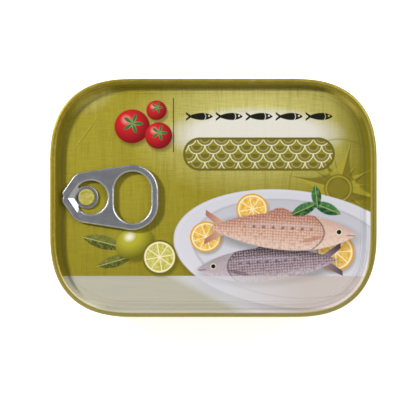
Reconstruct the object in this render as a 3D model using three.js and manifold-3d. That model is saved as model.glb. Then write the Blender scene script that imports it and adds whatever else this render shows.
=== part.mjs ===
// A shut sardine tin: a drawn body, a lid seamed onto it, and the ring pull riveted to the lid.
// Millimetres, +Z up. X runs along the tin with the pull towards -X, Y runs across it, and the
// origin is the middle of the face that the tin stands on.

import * as THREE from 'three';
import { mergeVertices } from 'three/addons/utils/BufferGeometryUtils.js';
import Module from 'manifold-3d';

const wasm = await Module();
wasm.setup();

// The tin's overall size, measured over the seam
const TIN_LENGTH = 105.5;
const TIN_WIDTH = 77.0;
const TIN_HEIGHT = 22.0;

// Its corners are superellipse curves: how far one runs along each side, and its exponent
const CORNER_REACH = 27.9;
const CORNER_POWER = 2.6;
const CORNER_STEPS = 18;

// The body, drawn from one sheet: how far its wall stands inside the seam, and its base
const WALL_INSET = 1.3;
const BASE_EDGE_RADIUS = 3.4;
const BASE_EDGE_STEPS = 7;
const STANDING_RING = 4.0;
const BASE_RECESS = 0.8;
const BASE_STEP = 1.2;
const WALL_TOP_DROP = 0.1;
const WALL_LIP = 0.2;

// The double seam and the lid inside it. The crown's turn is in degrees, from outside over the top
const SEAM_WIDTH = 1.95;
const SEAM_LENGTH = 3.35;
const SEAM_EDGE_RADIUS = 0.3;
const SEAM_EDGE_STEPS = 3;
const SEAM_SKIRT = 1.0;
const CROWN_TURN = 168;
const CROWN_RISE = 0.55;
const CROWN_STEPS = 8;
const PANEL_DEPTH = 3.1;
const LID_SHEET = 0.5;
const CHUCK_WALL_RUN = 0.9;
const GROOVE_WIDTH = 1.5;
const GROOVE_DEPTH = 0.2;
const GROOVE_STEPS = 6;
const SCORE_INSET = 4.8;
const SCORE_HALF_WIDTH = 0.15;
const SCORE_DEPTH = 0.12;

// Pieces that touch in the real tin keep this gap
const GAP = 0.3;

// The rivet, drawn up out of the lid's own sheet
const RIVET_X = -40.95;
const RIVET_SHANK_RADIUS = 1.9;
const RIVET_HEAD_RADIUS = 2.65;
const RIVET_HEAD_HEIGHT = 0.55;

// The ring pull's mid-line, how many degrees its finger end is lifted about the rivet, and the
// heights of its edge and its flat web above the panel
const PULL_Y = 0.2;
const PULL_LIFT = 1.2;
const PULL_CURL_RADIUS = 0.62;
const PULL_RISE = 0.3;
const PULL_SHEET = 0.45;
const PULL_SHEET_HEIGHT = 1.07;

// The pull's outline as corners and their radii: nose, shoulder and finger end, on the +Y side
const PULL_NOSE = { x: -49.0, y: 1.5, radius: 0.9 };
const PULL_SHOULDER = { x: -44.6, y: 7.9, radius: 5.0 };
const PULL_FINGER_END = { x: -17.7, y: 12.0, radius: 8.5 };

// The finger hole, a slot with round ends, and the bead rolled round it
const FINGER_HOLE = { x: -26.1, halfWidth: 5.95, halfHeight: 8.3 };
const FINGER_BEAD_RADIUS = 0.5;

// The round window behind the rivet, closed towards the nose by a straight cut
const WINDOW = { x: -39.6, radius: 5.4, cutX: -43.7 };
const WINDOW_BEAD_RADIUS = 0.4;
const WINDOW_BEAD_OVERRUN = THREE.MathUtils.degToRad(4);

// The tongue that leads from the nose down to the eye round the rivet
const TONGUE_HALF_WIDTH = 3.0;
const TONGUE_ROOT_X = -46.6;
const TONGUE_BEND = 0.9;
const EYE_RADIUS = 3.75;

// How finely round shapes are divided
const ROUND_SIDES = 32;
const ARC_STEPS = 24;
const BEAD_SIDES = 8;

// Finishes: the lid's printed ground, the body's lacquer and the pull's bare metal
const LID_FINISH = new THREE.MeshStandardMaterial({ color: 0xa5993a, roughness: 0.4, metalness: 0.3 });
const BODY_FINISH = new THREE.MeshStandardMaterial({ color: 0x9c8d40, roughness: 0.35, metalness: 0.5 });
const PULL_FINISH = new THREE.MeshStandardMaterial({ color: 0xa9adb3, roughness: 0.3, metalness: 1.0 });

// Levels worked out from the sizes above
const SEAM_BOTTOM = TIN_HEIGHT - SEAM_LENGTH;
const PANEL_TOP = TIN_HEIGHT - PANEL_DEPTH;
const GROOVE_FLOOR = PANEL_TOP - GROOVE_DEPTH;
const SHEET_BOTTOM = PANEL_TOP + PULL_SHEET_HEIGHT;
const SHEET_TOP = SHEET_BOTTOM + PULL_SHEET;
const EYE_BOTTOM = PANEL_TOP + GAP;
const EYE_TOP = EYE_BOTTOM + PULL_SHEET;
const WINDOW_TURN = Math.acos((WINDOW.cutX - WINDOW.x) / WINDOW.radius);

// Marks a profile point on the middle line, and sets the lathe's size before it is carried round
const MIDDLE = null;
const LATHE_RADIUS = 1000;
const WELD = 1e-4;

// Outline points with outward normals, anticlockwise, of a rectangle with superellipse corners
function tinOutline() {
  const straightX = TIN_LENGTH / 2 - CORNER_REACH;
  const straightY = TIN_WIDTH / 2 - CORNER_REACH;
  const outline = [];
  for (let quarter = 0; quarter < 4; quarter++) {
    const signX = quarter === 0 || quarter === 3 ? 1 : -1;
    const signY = quarter < 2 ? 1 : -1;
    for (let step = 0; step <= CORNER_STEPS; step++) {
      const share = quarter % 2 === 0 ? step : CORNER_STEPS - step;
      const turn = (share / CORNER_STEPS) * (Math.PI / 2);
      const across = Math.abs(Math.cos(turn)) ** (2 / CORNER_POWER);
      const along = Math.abs(Math.sin(turn)) ** (2 / CORNER_POWER);
      const normal = new THREE.Vector2(
        signX * across ** (CORNER_POWER - 1),
        signY * along ** (CORNER_POWER - 1),
      ).normalize();
      const point = new THREE.Vector2(
        signX * (straightX + CORNER_REACH * across),
        signY * (straightY + CORNER_REACH * along),
      );
      outline.push({ point, normal });
    }
  }
  return outline;
}

// Outline points with outward normals from a closed, anticlockwise list of points
function pathOutline(points) {
  const count = points.length;
  return points.map((point, index) => {
    const ahead = points[(index + 1) % count];
    const behind = points[(index + count - 1) % count];
    const tangent = ahead.clone().sub(behind).normalize();
    return { point, normal: new THREE.Vector2(tangent.y, -tangent.x) };
  });
}

// The points of an outline moved inwards
function insetPoints(points, inset) {
  return pathOutline(points).map(({ point, normal }) => point.clone().addScaledVector(normal, -inset));
}

// Carries a profile of [inset, height] pairs round an outline. The profile runs outwards along the
// underside, up, and back along the top, from middle to middle or closed on itself.
function carryRound(outline, profile) {
  const radii = profile.map(([inset, height]) => {
    const radius = inset === MIDDLE ? 0 : LATHE_RADIUS - inset;
    return new THREE.Vector2(radius, height);
  });
  const geometry = new THREE.LatheGeometry(radii, outline.length);
  const position = geometry.getAttribute('position');
  for (let vertex = 0; vertex < position.count; vertex++) {
    const [inset, height] = profile[vertex % profile.length];
    const { point, normal } = outline[Math.floor(vertex / profile.length) % outline.length];
    if (inset === MIDDLE) {
      position.setXYZ(vertex, 0, 0, height);
    } else {
      position.setXYZ(vertex, point.x - inset * normal.x, point.y - inset * normal.y, height);
    }
  }
  return geometry;
}

// Points of an arc in a profile, round [inset, height], by angles in degrees; 0 points outwards. A
// rise other than the radius makes it oval
function profileArc([inset, height], radius, fromDegrees, toDegrees, steps, rise = radius) {
  return Array.from({ length: steps + 1 }, (_, step) => {
    const turn = THREE.MathUtils.degToRad(THREE.MathUtils.lerp(fromDegrees, toDegrees, step / steps));
    return [inset - radius * Math.cos(turn), height + rise * Math.sin(turn)];
  });
}

// Points of the groove in a profile: a dip that is steep at the wall's foot and runs out gently
function grooveProfile(wallFoot) {
  return Array.from({ length: GROOVE_STEPS + 1 }, (_, step) => {
    const share = step / GROOVE_STEPS;
    const dip = GROOVE_DEPTH * Math.sin(share * Math.PI);
    return [wallFoot + GROOVE_WIDTH * share ** 2, PANEL_TOP - dip];
  });
}

// A closed path through corners given as { x, y, radius }, anticlockwise, each rounded by an arc
function roundedPath(corners) {
  const path = new THREE.Path();
  const count = corners.length;
  corners.forEach(({ x, y, radius }, index) => {
    const corner = new THREE.Vector2(x, y);
    const before = corners[(index + count - 1) % count];
    const after = corners[(index + 1) % count];
    const toBefore = new THREE.Vector2(before.x, before.y).sub(corner).normalize();
    const toAfter = new THREE.Vector2(after.x, after.y).sub(corner).normalize();
    const halfAngle = Math.acos(toBefore.dot(toAfter)) / 2;
    const reach = radius / Math.tan(halfAngle);
    const inwards = toBefore.clone().add(toAfter).normalize();
    const centre = corner.clone().addScaledVector(inwards, radius / Math.sin(halfAngle));
    const start = corner.clone().addScaledVector(toBefore, reach).sub(centre);
    const end = corner.clone().addScaledVector(toAfter, reach).sub(centre);
    path.absarc(centre.x, centre.y, radius, start.angle(), end.angle(), false);
  });
  path.closePath();
  return path;
}

// The points of a closed path, without the last one where it repeats the first
function pathPoints(path, divisions) {
  const points = path.getPoints(divisions);
  const repeats = points.at(-1).distanceTo(points[0]) < WELD;
  return repeats ? points.slice(0, -1) : points;
}

// A closed solid from a geometry, its shared vertices welded and its empty triangles dropped
function solidFrom(geometry) {
  const bare = geometry.clone();
  bare.deleteAttribute('normal');
  bare.deleteAttribute('uv');
  const welded = mergeVertices(bare, WELD);
  const index = welded.getIndex().array;
  const triangles = [];
  for (let first = 0; first < index.length; first += 3) {
    const [a, b, c] = index.slice(first, first + 3);
    if (a !== b && b !== c && c !== a) {
      triangles.push(a, b, c);
    }
  }
  return new wasm.Manifold(new wasm.Mesh({
    numProp: 3,
    vertProperties: Float32Array.from(welded.getAttribute('position').array),
    triVerts: Uint32Array.from(triangles),
  }));
}

// A named mesh from a solid
function meshFrom(name, solid, material) {
  const { vertProperties, triVerts } = solid.getMesh();
  const geometry = new THREE.BufferGeometry();
  geometry.setAttribute('position', new THREE.BufferAttribute(vertProperties, 3));
  geometry.setIndex(new THREE.BufferAttribute(triVerts, 1));
  geometry.computeVertexNormals();
  const mesh = new THREE.Mesh(geometry, material);
  mesh.name = name;
  return mesh;
}

// The body: a flat standing ring with a recess inside it, a round base edge and a straight wall,
// filled up to the lid because the shut tin can't be seen into
function canBody(outline) {
  const ringOuter = WALL_INSET + BASE_EDGE_RADIUS;
  const ringInner = ringOuter + STANDING_RING;
  const wallTop = PANEL_TOP - WALL_TOP_DROP;
  const fillTop = GROOVE_FLOOR - LID_SHEET - GAP;
  const lipInset = WALL_INSET + WALL_LIP;
  const profile = [
    [MIDDLE, BASE_RECESS],
    [ringInner + BASE_STEP, BASE_RECESS],
    [ringInner, 0],
    ...profileArc([ringOuter, BASE_EDGE_RADIUS], BASE_EDGE_RADIUS, -90, 0, BASE_EDGE_STEPS),
    [WALL_INSET, wallTop],
    [lipInset, wallTop],
    [lipInset + GAP, fillTop],
    [MIDDLE, fillTop],
  ];
  return solidFrom(carryRound(outline, profile));
}

// The rivet: a shank out of the panel and a low domed head that holds the pull's eye down
function rivet() {
  const headBottom = EYE_TOP + GAP;
  const headTop = headBottom + RIVET_HEAD_HEIGHT;
  const profile = [
    new THREE.Vector2(0, PANEL_TOP - LID_SHEET / 2),
    new THREE.Vector2(RIVET_SHANK_RADIUS, PANEL_TOP - LID_SHEET / 2),
    new THREE.Vector2(RIVET_SHANK_RADIUS, headBottom),
    new THREE.Vector2(RIVET_HEAD_RADIUS, headBottom),
    new THREE.Vector2(RIVET_HEAD_RADIUS, headBottom + RIVET_HEAD_HEIGHT / 2),
    new THREE.Vector2(RIVET_HEAD_RADIUS - RIVET_HEAD_HEIGHT / 2, headTop),
    new THREE.Vector2(0, headTop),
  ];
  const geometry = new THREE.LatheGeometry(profile, ROUND_SIDES);
  geometry.rotateX(Math.PI / 2);
  geometry.translate(RIVET_X, PULL_Y, 0);
  return solidFrom(geometry);
}

// The lid: the seam's skirt and rounded top, the sloping chuck wall, the groove at its foot, and
// the flat panel with its rivet and the score line that it tears along
function lid(outline) {
  const crownHalf = SEAM_WIDTH / 2;
  const wallFoot = SEAM_WIDTH + CHUCK_WALL_RUN;
  const panelEdge = wallFoot + GROOVE_WIDTH;
  const skirtRoof = SEAM_BOTTOM + 2 * GAP;
  const skirtEdge = [SEAM_EDGE_RADIUS, SEAM_BOTTOM + SEAM_EDGE_RADIUS];
  const crown = [crownHalf, TIN_HEIGHT - CROWN_RISE];
  const profile = [
    [MIDDLE, PANEL_TOP - LID_SHEET],
    [panelEdge + LID_SHEET, PANEL_TOP - LID_SHEET],
    [panelEdge, GROOVE_FLOOR - LID_SHEET],
    [wallFoot - LID_SHEET, GROOVE_FLOOR - LID_SHEET],
    [SEAM_SKIRT + LID_SHEET + GAP, skirtRoof],
    [SEAM_SKIRT, skirtRoof],
    [SEAM_SKIRT, SEAM_BOTTOM],
    ...profileArc(skirtEdge, SEAM_EDGE_RADIUS, -90, 0, SEAM_EDGE_STEPS),
    ...profileArc(crown, crownHalf, 0, CROWN_TURN, CROWN_STEPS, CROWN_RISE),
    ...grooveProfile(wallFoot),
    [SCORE_INSET - SCORE_HALF_WIDTH, PANEL_TOP],
    [SCORE_INSET, PANEL_TOP - SCORE_DEPTH],
    [SCORE_INSET + SCORE_HALF_WIDTH, PANEL_TOP],
    [MIDDLE, PANEL_TOP],
  ];
  return solidFrom(carryRound(outline, profile)).add(rivet());
}

// The pull's outer edge as a closed path, on its own mid-line
function pullPath() {
  const upper = [PULL_FINGER_END, PULL_SHOULDER, PULL_NOSE];
  const lower = upper.map(({ x, y, radius }) => ({ x, y: -y, radius })).reverse();
  return roundedPath([...lower, ...upper]);
}

// The finger hole's edge as a closed path
function fingerHolePath() {
  const { x, halfWidth, halfHeight } = FINGER_HOLE;
  const endCentre = halfHeight - halfWidth;
  const path = new THREE.Path();
  path.absarc(x, endCentre, halfWidth, 0, Math.PI, false);
  path.absarc(x, -endCentre, halfWidth, Math.PI, 2 * Math.PI, false);
  path.closePath();
  return path;
}

// The window's edge: an arc about the rivet's far side, closed by the straight cut
function windowPath() {
  const path = new THREE.Path();
  path.absarc(WINDOW.x, 0, WINDOW.radius, -WINDOW_TURN, WINDOW_TURN, false);
  path.closePath();
  return path;
}

// A round bead of the given radius, centred on the given height, rolled along an outline
function rolledBead(outline, inset, height, radius) {
  return solidFrom(carryRound(outline, profileArc([inset, height], radius, -180, 180, BEAD_SIDES)));
}

// The window's bead follows the arc alone, and runs out into the web just past the straight cut
function windowBead(height) {
  const radius = WINDOW.radius + WINDOW_BEAD_RADIUS;
  const turn = WINDOW_TURN + WINDOW_BEAD_OVERRUN;
  const arc = new THREE.EllipseCurve(WINDOW.x, 0, radius, radius, -turn, turn);
  const route = new THREE.CatmullRomCurve3(
    arc.getPoints(ARC_STEPS).map(({ x, y }) => new THREE.Vector3(x, y, height)),
  );
  const section = new THREE.Shape();
  section.absarc(0, 0, WINDOW_BEAD_RADIUS, 0, 2 * Math.PI, false);
  const bead = { steps: ARC_STEPS, curveSegments: BEAD_SIDES / 2, extrudePath: route };
  return solidFrom(new THREE.ExtrudeGeometry(section, bead));
}

// A flat plate of sheet from a path, with its underside at the given height
function plate(path, holes, height) {
  const shape = new THREE.Shape(path);
  shape.holes = holes.map((points) => new THREE.Path(points));
  const geometry = new THREE.ExtrudeGeometry(shape, { depth: PULL_SHEET, bevelEnabled: false });
  geometry.translate(0, 0, height);
  return solidFrom(geometry);
}

// The tongue: a strip that leaves the nose at the pull's own level and bends down to the eye
function tongue() {
  const bendStart = WINDOW.cutX - TONGUE_BEND / 2;
  const bendEnd = WINDOW.cutX + TONGUE_BEND / 2;
  const side = new THREE.Shape();
  side.moveTo(TONGUE_ROOT_X, SHEET_BOTTOM);
  side.lineTo(bendStart, SHEET_BOTTOM);
  side.lineTo(bendEnd, EYE_BOTTOM);
  side.lineTo(RIVET_X, EYE_BOTTOM);
  side.lineTo(RIVET_X, EYE_TOP);
  side.lineTo(bendEnd, EYE_TOP);
  side.lineTo(bendStart, SHEET_TOP);
  side.lineTo(TONGUE_ROOT_X, SHEET_TOP);
  const geometry = new THREE.ExtrudeGeometry(side, { depth: 2 * TONGUE_HALF_WIDTH, bevelEnabled: false });
  geometry.rotateX(Math.PI / 2);
  geometry.translate(0, TONGUE_HALF_WIDTH, 0);
  return solidFrom(geometry);
}

// A disc about the rivet, for the eye and for the hole through it
function rivetDisc(radius, bottom, top) {
  const geometry = new THREE.CylinderGeometry(radius, radius, top - bottom, ROUND_SIDES);
  geometry.rotateX(Math.PI / 2);
  geometry.translate(RIVET_X, 0, (bottom + top) / 2);
  return solidFrom(geometry);
}

// The ring pull: a flat web with a curled outer edge, beads round both of its openings, and the
// tongue and eye by which the rivet holds it. It leans on its nose, with the finger end lifted.
function ringPull() {
  const edge = pathPoints(pullPath(), ARC_STEPS / 4);
  const fingerHole = pathPoints(fingerHolePath(), ARC_STEPS / 2);
  const window = pathPoints(windowPath(), ARC_STEPS / 2);
  const curlHeight = PANEL_TOP + PULL_RISE + PULL_CURL_RADIUS;
  const fingerBeadHeight = SHEET_TOP - FINGER_BEAD_RADIUS;
  const web = plate(insetPoints(edge, PULL_CURL_RADIUS), [fingerHole, window], SHEET_BOTTOM);
  const eye = rivetDisc(EYE_RADIUS, EYE_BOTTOM, EYE_TOP);
  const eyeHole = rivetDisc(RIVET_SHANK_RADIUS + GAP, EYE_BOTTOM - GAP, EYE_TOP + GAP);
  return web
    .add(rolledBead(pathOutline(edge), PULL_CURL_RADIUS, curlHeight, PULL_CURL_RADIUS))
    .add(rolledBead(pathOutline(fingerHole), -FINGER_BEAD_RADIUS, fingerBeadHeight, FINGER_BEAD_RADIUS))
    .add(windowBead(SHEET_TOP - WINDOW_BEAD_RADIUS))
    .add(tongue().add(eye).subtract(eyeHole))
    .translate([-RIVET_X, 0, -EYE_TOP])
    .rotate([0, -PULL_LIFT, 0])
    .translate([RIVET_X, 0, EYE_TOP]);
}

const sardineTin = new THREE.Group();
const outline = tinOutline();
sardineTin.add(meshFrom('can_body', canBody(outline), BODY_FINISH));
sardineTin.add(meshFrom('lid', lid(outline), LID_FINISH));
const pull = meshFrom('ring_pull', ringPull(), PULL_FINISH);
pull.position.y = PULL_Y;
sardineTin.add(pull);

export default sardineTin;
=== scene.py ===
"""Dresses the shut sardine tin: a printed lid, a lacquered body and a bare metal ring pull.

Metres, +Z up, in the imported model's own frame: X along the tin with the pull towards -X, Y across
it, and the origin in the middle of the base. The print is worked out in millimetres on the lid.
"""

import logging
import math
from dataclasses import dataclass, replace
from enum import Enum
from typing import Optional, Protocol, Union

import bmesh
import bpy
import numpy as np
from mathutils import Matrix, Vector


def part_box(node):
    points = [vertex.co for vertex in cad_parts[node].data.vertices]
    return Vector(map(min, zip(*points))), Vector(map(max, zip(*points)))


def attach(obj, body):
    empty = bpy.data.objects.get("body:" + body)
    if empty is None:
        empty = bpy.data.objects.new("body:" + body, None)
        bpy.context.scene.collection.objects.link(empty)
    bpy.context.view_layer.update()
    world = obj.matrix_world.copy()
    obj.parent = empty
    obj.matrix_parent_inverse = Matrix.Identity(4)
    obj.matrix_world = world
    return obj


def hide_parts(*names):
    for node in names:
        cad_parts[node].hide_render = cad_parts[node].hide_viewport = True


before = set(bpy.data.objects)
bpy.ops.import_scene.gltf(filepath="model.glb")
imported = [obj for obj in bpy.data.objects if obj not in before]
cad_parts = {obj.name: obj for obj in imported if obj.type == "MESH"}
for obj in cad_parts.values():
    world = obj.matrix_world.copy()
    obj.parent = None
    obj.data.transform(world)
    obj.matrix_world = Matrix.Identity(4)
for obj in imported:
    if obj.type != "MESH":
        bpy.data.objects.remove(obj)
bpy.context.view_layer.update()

MM = 0.001
WELD = 1e-7
LOG = logging.getLogger("sardine_tin")
INSET_LAYER = "inset"
RIVET_X = -40.95 * MM
RIVET_Y = 0.2 * MM
Colour = tuple[float, float, float, float]
Value = Union["Signal", float]


def srgb(red: int, green: int, blue: int) -> Colour:
    """A linear colour with full alpha from screen values of 0 to 255."""
    linear = [
        share / 12.92 if share <= 0.04045 else ((share + 0.055) / 1.055) ** 2.4
        for share in (red / 255, green / 255, blue / 255)
    ]
    return (linear[0], linear[1], linear[2], 1.0)


# Shader expressions


class Signal:
    """A value in a node sheet. Arithmetic on it adds Math nodes."""

    def __init__(self, sheet: "NodeSheet", socket: bpy.types.NodeSocket) -> None:
        """Wraps an output socket of the sheet."""
        self.sheet = sheet
        self.socket = socket

    def __add__(self, other: Value) -> "Signal":
        """This plus other."""
        return self.sheet.math("ADD", self, other)

    def __radd__(self, other: Value) -> "Signal":
        """Other plus this."""
        return self.sheet.math("ADD", other, self)

    def __sub__(self, other: Value) -> "Signal":
        """This less other."""
        return self.sheet.math("SUBTRACT", self, other)

    def __rsub__(self, other: Value) -> "Signal":
        """Other less this."""
        return self.sheet.math("SUBTRACT", other, self)

    def __mul__(self, other: Value) -> "Signal":
        """This times other."""
        return self.sheet.math("MULTIPLY", self, other)

    def __rmul__(self, other: Value) -> "Signal":
        """Other times this."""
        return self.sheet.math("MULTIPLY", other, self)

    def __truediv__(self, other: Value) -> "Signal":
        """This divided by other."""
        return self.sheet.math("DIVIDE", self, other)

    def __pow__(self, other: Value) -> "Signal":
        """This to the power of other."""
        return self.sheet.math("POWER", self, other)

    def __abs__(self) -> "Signal":
        """This without its sign."""
        return self.sheet.math("ABSOLUTE", self)

    def least(self, other: Value) -> "Signal":
        """The lesser of this and other."""
        return self.sheet.math("MINIMUM", self, other)

    def most(self, other: Value) -> "Signal":
        """The greater of this and other."""
        return self.sheet.math("MAXIMUM", self, other)

    def sine(self) -> "Signal":
        """The sine of this, in radians."""
        return self.sheet.math("SINE", self)

    def whole(self) -> "Signal":
        """The whole number at or below this."""
        return self.sheet.math("FLOOR", self)

    def wrapped(self, low: float, high: float) -> "Signal":
        """This brought between low and high by whole periods."""
        return self.sheet.math("WRAP", self, high, low)

    def ramp(self, low: float, high: float, start: float = 0.0, end: float = 1.0) -> "Signal":
        """This mapped evenly from low..high to start..end, and held at the ends."""
        return self.sheet.ramp(self, low, high, start, end)

    def inside(self, soft: float) -> "Signal":
        """A mask that is 1 where this is above zero, with an edge of the given half width."""
        return self.sheet.ramp(self, -soft, soft, 0.0, 1.0)

    def near(self, place: float, half: float, soft: float) -> "Signal":
        """A mask that is 1 where this lies within half of a place, with a soft edge."""
        return (half - abs(self - place)).inside(soft)

    def between(self, low: float, high: float, soft: float) -> "Signal":
        """A mask that is 1 where this lies from low to high, with soft ends."""
        return (self - low).inside(soft) * (high - self).inside(soft)


def squares(along: Signal, across: Signal) -> Signal:
    """The squares of two coordinates, added up."""
    return along * along + across * across


class Blend(Enum):
    """How one colour goes on another: laid over it, or multiplied into it."""

    OVER = "MIX"
    TIMES = "MULTIPLY"


class NodeSheet:
    """A node tree that is filled by expressions."""

    def __init__(self, tree: bpy.types.NodeTree) -> None:
        """Wraps an empty node tree."""
        self.tree = tree

    def node(
        self,
        kind: str,
        settings: Optional[dict[str, object]] = None,
        sockets: Optional[dict[str, object]] = None,
    ) -> bpy.types.Node:
        """Adds one node.

        Args:
            kind: The node's type.
            settings: Its properties, which are set first.
            sockets: Numbers, colours or signals by the input socket's identifier.

        Returns:
            The node.
        """
        made = self.tree.nodes.new(kind)
        for name, setting in (settings or {}).items():
            setattr(made, name, setting)
        by_name = {socket.identifier: socket for socket in made.inputs}
        for name, given in (sockets or {}).items():
            if isinstance(given, Signal):
                self.tree.links.new(given.socket, by_name[name])
            else:
                by_name[name].default_value = given
        return made

    def signal(self, made: bpy.types.Node, output: str) -> Signal:
        """The node's output of that name as a signal."""
        return Signal(self, made.outputs[output])

    def math(self, operation: str, *values: Value) -> Signal:
        """The result of a Math node on up to three values.

        Args:
            operation: The node's operation.
            values: Its numbers or signals.

        Returns:
            The result.
        """
        names = ("Value", "Value_001", "Value_002")
        made = self.node("ShaderNodeMath", {"operation": operation}, dict(zip(names, values)))
        return self.signal(made, "Value")

    def ramp(self, value: Signal, low: float, high: float, start: float, end: float) -> Signal:
        """The value mapped evenly from low..high to start..end, and held at the ends."""
        made = self.node(
            "ShaderNodeMapRange",
            {"clamp": True},
            {"Value": value, "From Min": low, "From Max": high, "To Min": start, "To Max": end},
        )
        return self.signal(made, "Result")

    def mix(self, share: Value, below: object, above: object, blend: Blend = Blend.OVER) -> Signal:
        """The colour below with the colour above put on it by that share."""
        made = self.node(
            "ShaderNodeMix",
            {"data_type": "RGBA", "blend_type": blend.value},
            {"Factor_Float": share, "A_Color": below, "B_Color": above},
        )
        return Signal(self, next(s for s in made.outputs if s.identifier == "Result_Color"))

    def noise(self, place: Signal, scale: float, detail: float = 2.0) -> Signal:
        """Cloudy noise around one half, at the given number of clouds to a unit."""
        made = self.node(
            "ShaderNodeTexNoise",
            {"noise_dimensions": "3D"},
            {"Vector": place, "Scale": scale, "Detail": detail},
        )
        return self.signal(made, "Fac")

    def stretched(self, place: Signal, scale: tuple[float, float, float]) -> Signal:
        """A place multiplied by a scale along each axis."""
        made = self.node(
            "ShaderNodeVectorMath",
            {"operation": "MULTIPLY"},
            {"Vector": place, "Vector_001": scale},
        )
        return self.signal(made, "Vector")

    def split(self, place: Signal) -> tuple[Signal, Signal, Signal]:
        """The three coordinates of a place."""
        made = self.node("ShaderNodeSeparateXYZ", None, {"Vector": place})
        return self.signal(made, "X"), self.signal(made, "Y"), self.signal(made, "Z")

    def object_place(self) -> Signal:
        """The place on the piece, in millimetres."""
        metres = self.signal(self.node("ShaderNodeTexCoord"), "Object")
        return self.stretched(metres, (1 / MM, 1 / MM, 1 / MM))

    def attribute(self, name: str) -> Signal:
        """The value of a point attribute of the piece."""
        return self.signal(self.node("ShaderNodeAttribute", {"attribute_name": name}), "Fac")

    def bump(self, height: Signal, distance: float, strength: float) -> Signal:
        """The normal of a surface with a fine relief of the given height in metres."""
        made = self.node(
            "ShaderNodeBump", None, {"Height": height, "Distance": distance, "Strength": strength}
        )
        return self.signal(made, "Normal")


class Finish:
    """A material on the Principled shader."""

    def __init__(self, name: str) -> None:
        """Starts an empty material of that name.

        Args:
            name: The material's name.
        """
        self.material = bpy.data.materials.new(name)
        self.material.use_nodes = True
        self.material.node_tree.nodes.clear()
        self.sheet = NodeSheet(self.material.node_tree)

    def close(self, **sockets: object) -> bpy.types.Material:
        """Puts the shader and the output in place.

        Args:
            sockets: The Principled shader's inputs, with _ for a space in a name.

        Returns:
            The material.
        """
        named = {key.replace("_", " "): given for key, given in sockets.items()}
        shader = self.sheet.node("ShaderNodeBsdfPrincipled", None, named)
        surface = self.sheet.signal(shader, "BSDF")
        self.sheet.node("ShaderNodeOutputMaterial", None, {"Surface": surface})
        return self.material


# Surfaces


class Patchwork:
    """Grids of points that are joined into one mesh."""

    def __init__(self) -> None:
        """Starts with no grids."""
        self.points: list[np.ndarray] = []
        self.quads: list[np.ndarray] = []
        self.insets: list[np.ndarray] = []
        self.count = 0

    def add(
        self, grid: np.ndarray, closed: tuple[bool, bool], inset: Union[float, np.ndarray] = 0.0
    ) -> None:
        """Adds a grid of points as quads, whose faces look along the first direction cross the second.

        Args:
            grid: Points by row, column and axis, in metres.
            closed: Whether the rows, and the columns, come round to the first again.
            inset: The inset attribute in millimetres, one for all points or one for each column.
        """
        rows, columns = grid.shape[:2]
        row = np.arange(rows if closed[0] else rows - 1)
        column = np.arange(columns if closed[1] else columns - 1)
        at_row, at_column = np.meshgrid(row, column, indexing="ij")
        next_row = (at_row + 1) % rows
        next_column = (at_column + 1) % columns
        corners = (
            at_row * columns + at_column,
            next_row * columns + at_column,
            next_row * columns + next_column,
            at_row * columns + next_column,
        )
        self.quads.append(np.stack(corners, axis=-1).reshape(-1, 4) + self.count)
        self.points.append(grid.reshape(-1, 3))
        self.insets.append(np.broadcast_to(inset, (rows, columns)).reshape(-1))
        self.count += rows * columns

    def build(self, name: str, sharp_degrees: float) -> bpy.types.Object:
        """Makes the mesh object, with equal points welded and smooth shading up to an angle.

        Args:
            name: The piece's name.
            sharp_degrees: Edges that turn by more than this stay sharp.

        Returns:
            The object, linked to the scene.
        """
        points = np.concatenate(self.points)
        quads = np.concatenate(self.quads)
        mesh = bpy.data.meshes.new(name)
        mesh.vertices.add(len(points))
        mesh.vertices.foreach_set("co", points.astype(np.float32).ravel())
        mesh.loops.add(quads.size)
        mesh.loops.foreach_set("vertex_index", quads.astype(np.int32).ravel())
        mesh.polygons.add(len(quads))
        mesh.polygons.foreach_set("loop_start", np.arange(0, quads.size, 4, dtype=np.int32))
        layer = mesh.attributes.new(INSET_LAYER, "FLOAT", "POINT")
        layer.data.foreach_set("value", np.concatenate(self.insets).astype(np.float32))
        mesh.update(calc_edges=True)
        work = bmesh.new()
        work.from_mesh(mesh)
        bmesh.ops.remove_doubles(work, verts=work.verts, dist=WELD)
        bmesh.ops.dissolve_degenerate(work, edges=work.edges, dist=WELD)
        work.to_mesh(mesh)
        work.free()
        mesh.validate()
        mesh.polygons.foreach_set("use_smooth", np.ones(len(mesh.polygons), dtype=bool))
        mesh.set_sharp_from_angle(angle=math.radians(sharp_degrees))
        piece = bpy.data.objects.new(name, mesh)
        bpy.context.scene.collection.objects.link(piece)
        return piece


def arc(
    centre: tuple[float, float], radius: float, start: float, end: float, steps: int
) -> np.ndarray:
    """Points of an arc: its centre plus radius times cos and sin of an angle, given in degrees."""
    turn = np.radians(np.linspace(start, end, steps + 1))
    return np.array(centre) + radius * np.stack([np.cos(turn), np.sin(turn)], axis=1)


def line(start: tuple[float, float], end: tuple[float, float], steps: int) -> np.ndarray:
    """Points of a straight stretch of a section, its ends among them."""
    share = np.linspace(0.0, 1.0, steps + 1)[:, None]
    return np.array(start) * (1 - share) + np.array(end) * share


def ease(value: np.ndarray, low: float, high: float) -> np.ndarray:
    """Smooth step of each value from 0 at low to 1 at high: 3t squared less 2t cubed."""
    share = np.clip((value - low) / (high - low), 0.0, 1.0)
    return share * share * (3 - 2 * share)


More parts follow.
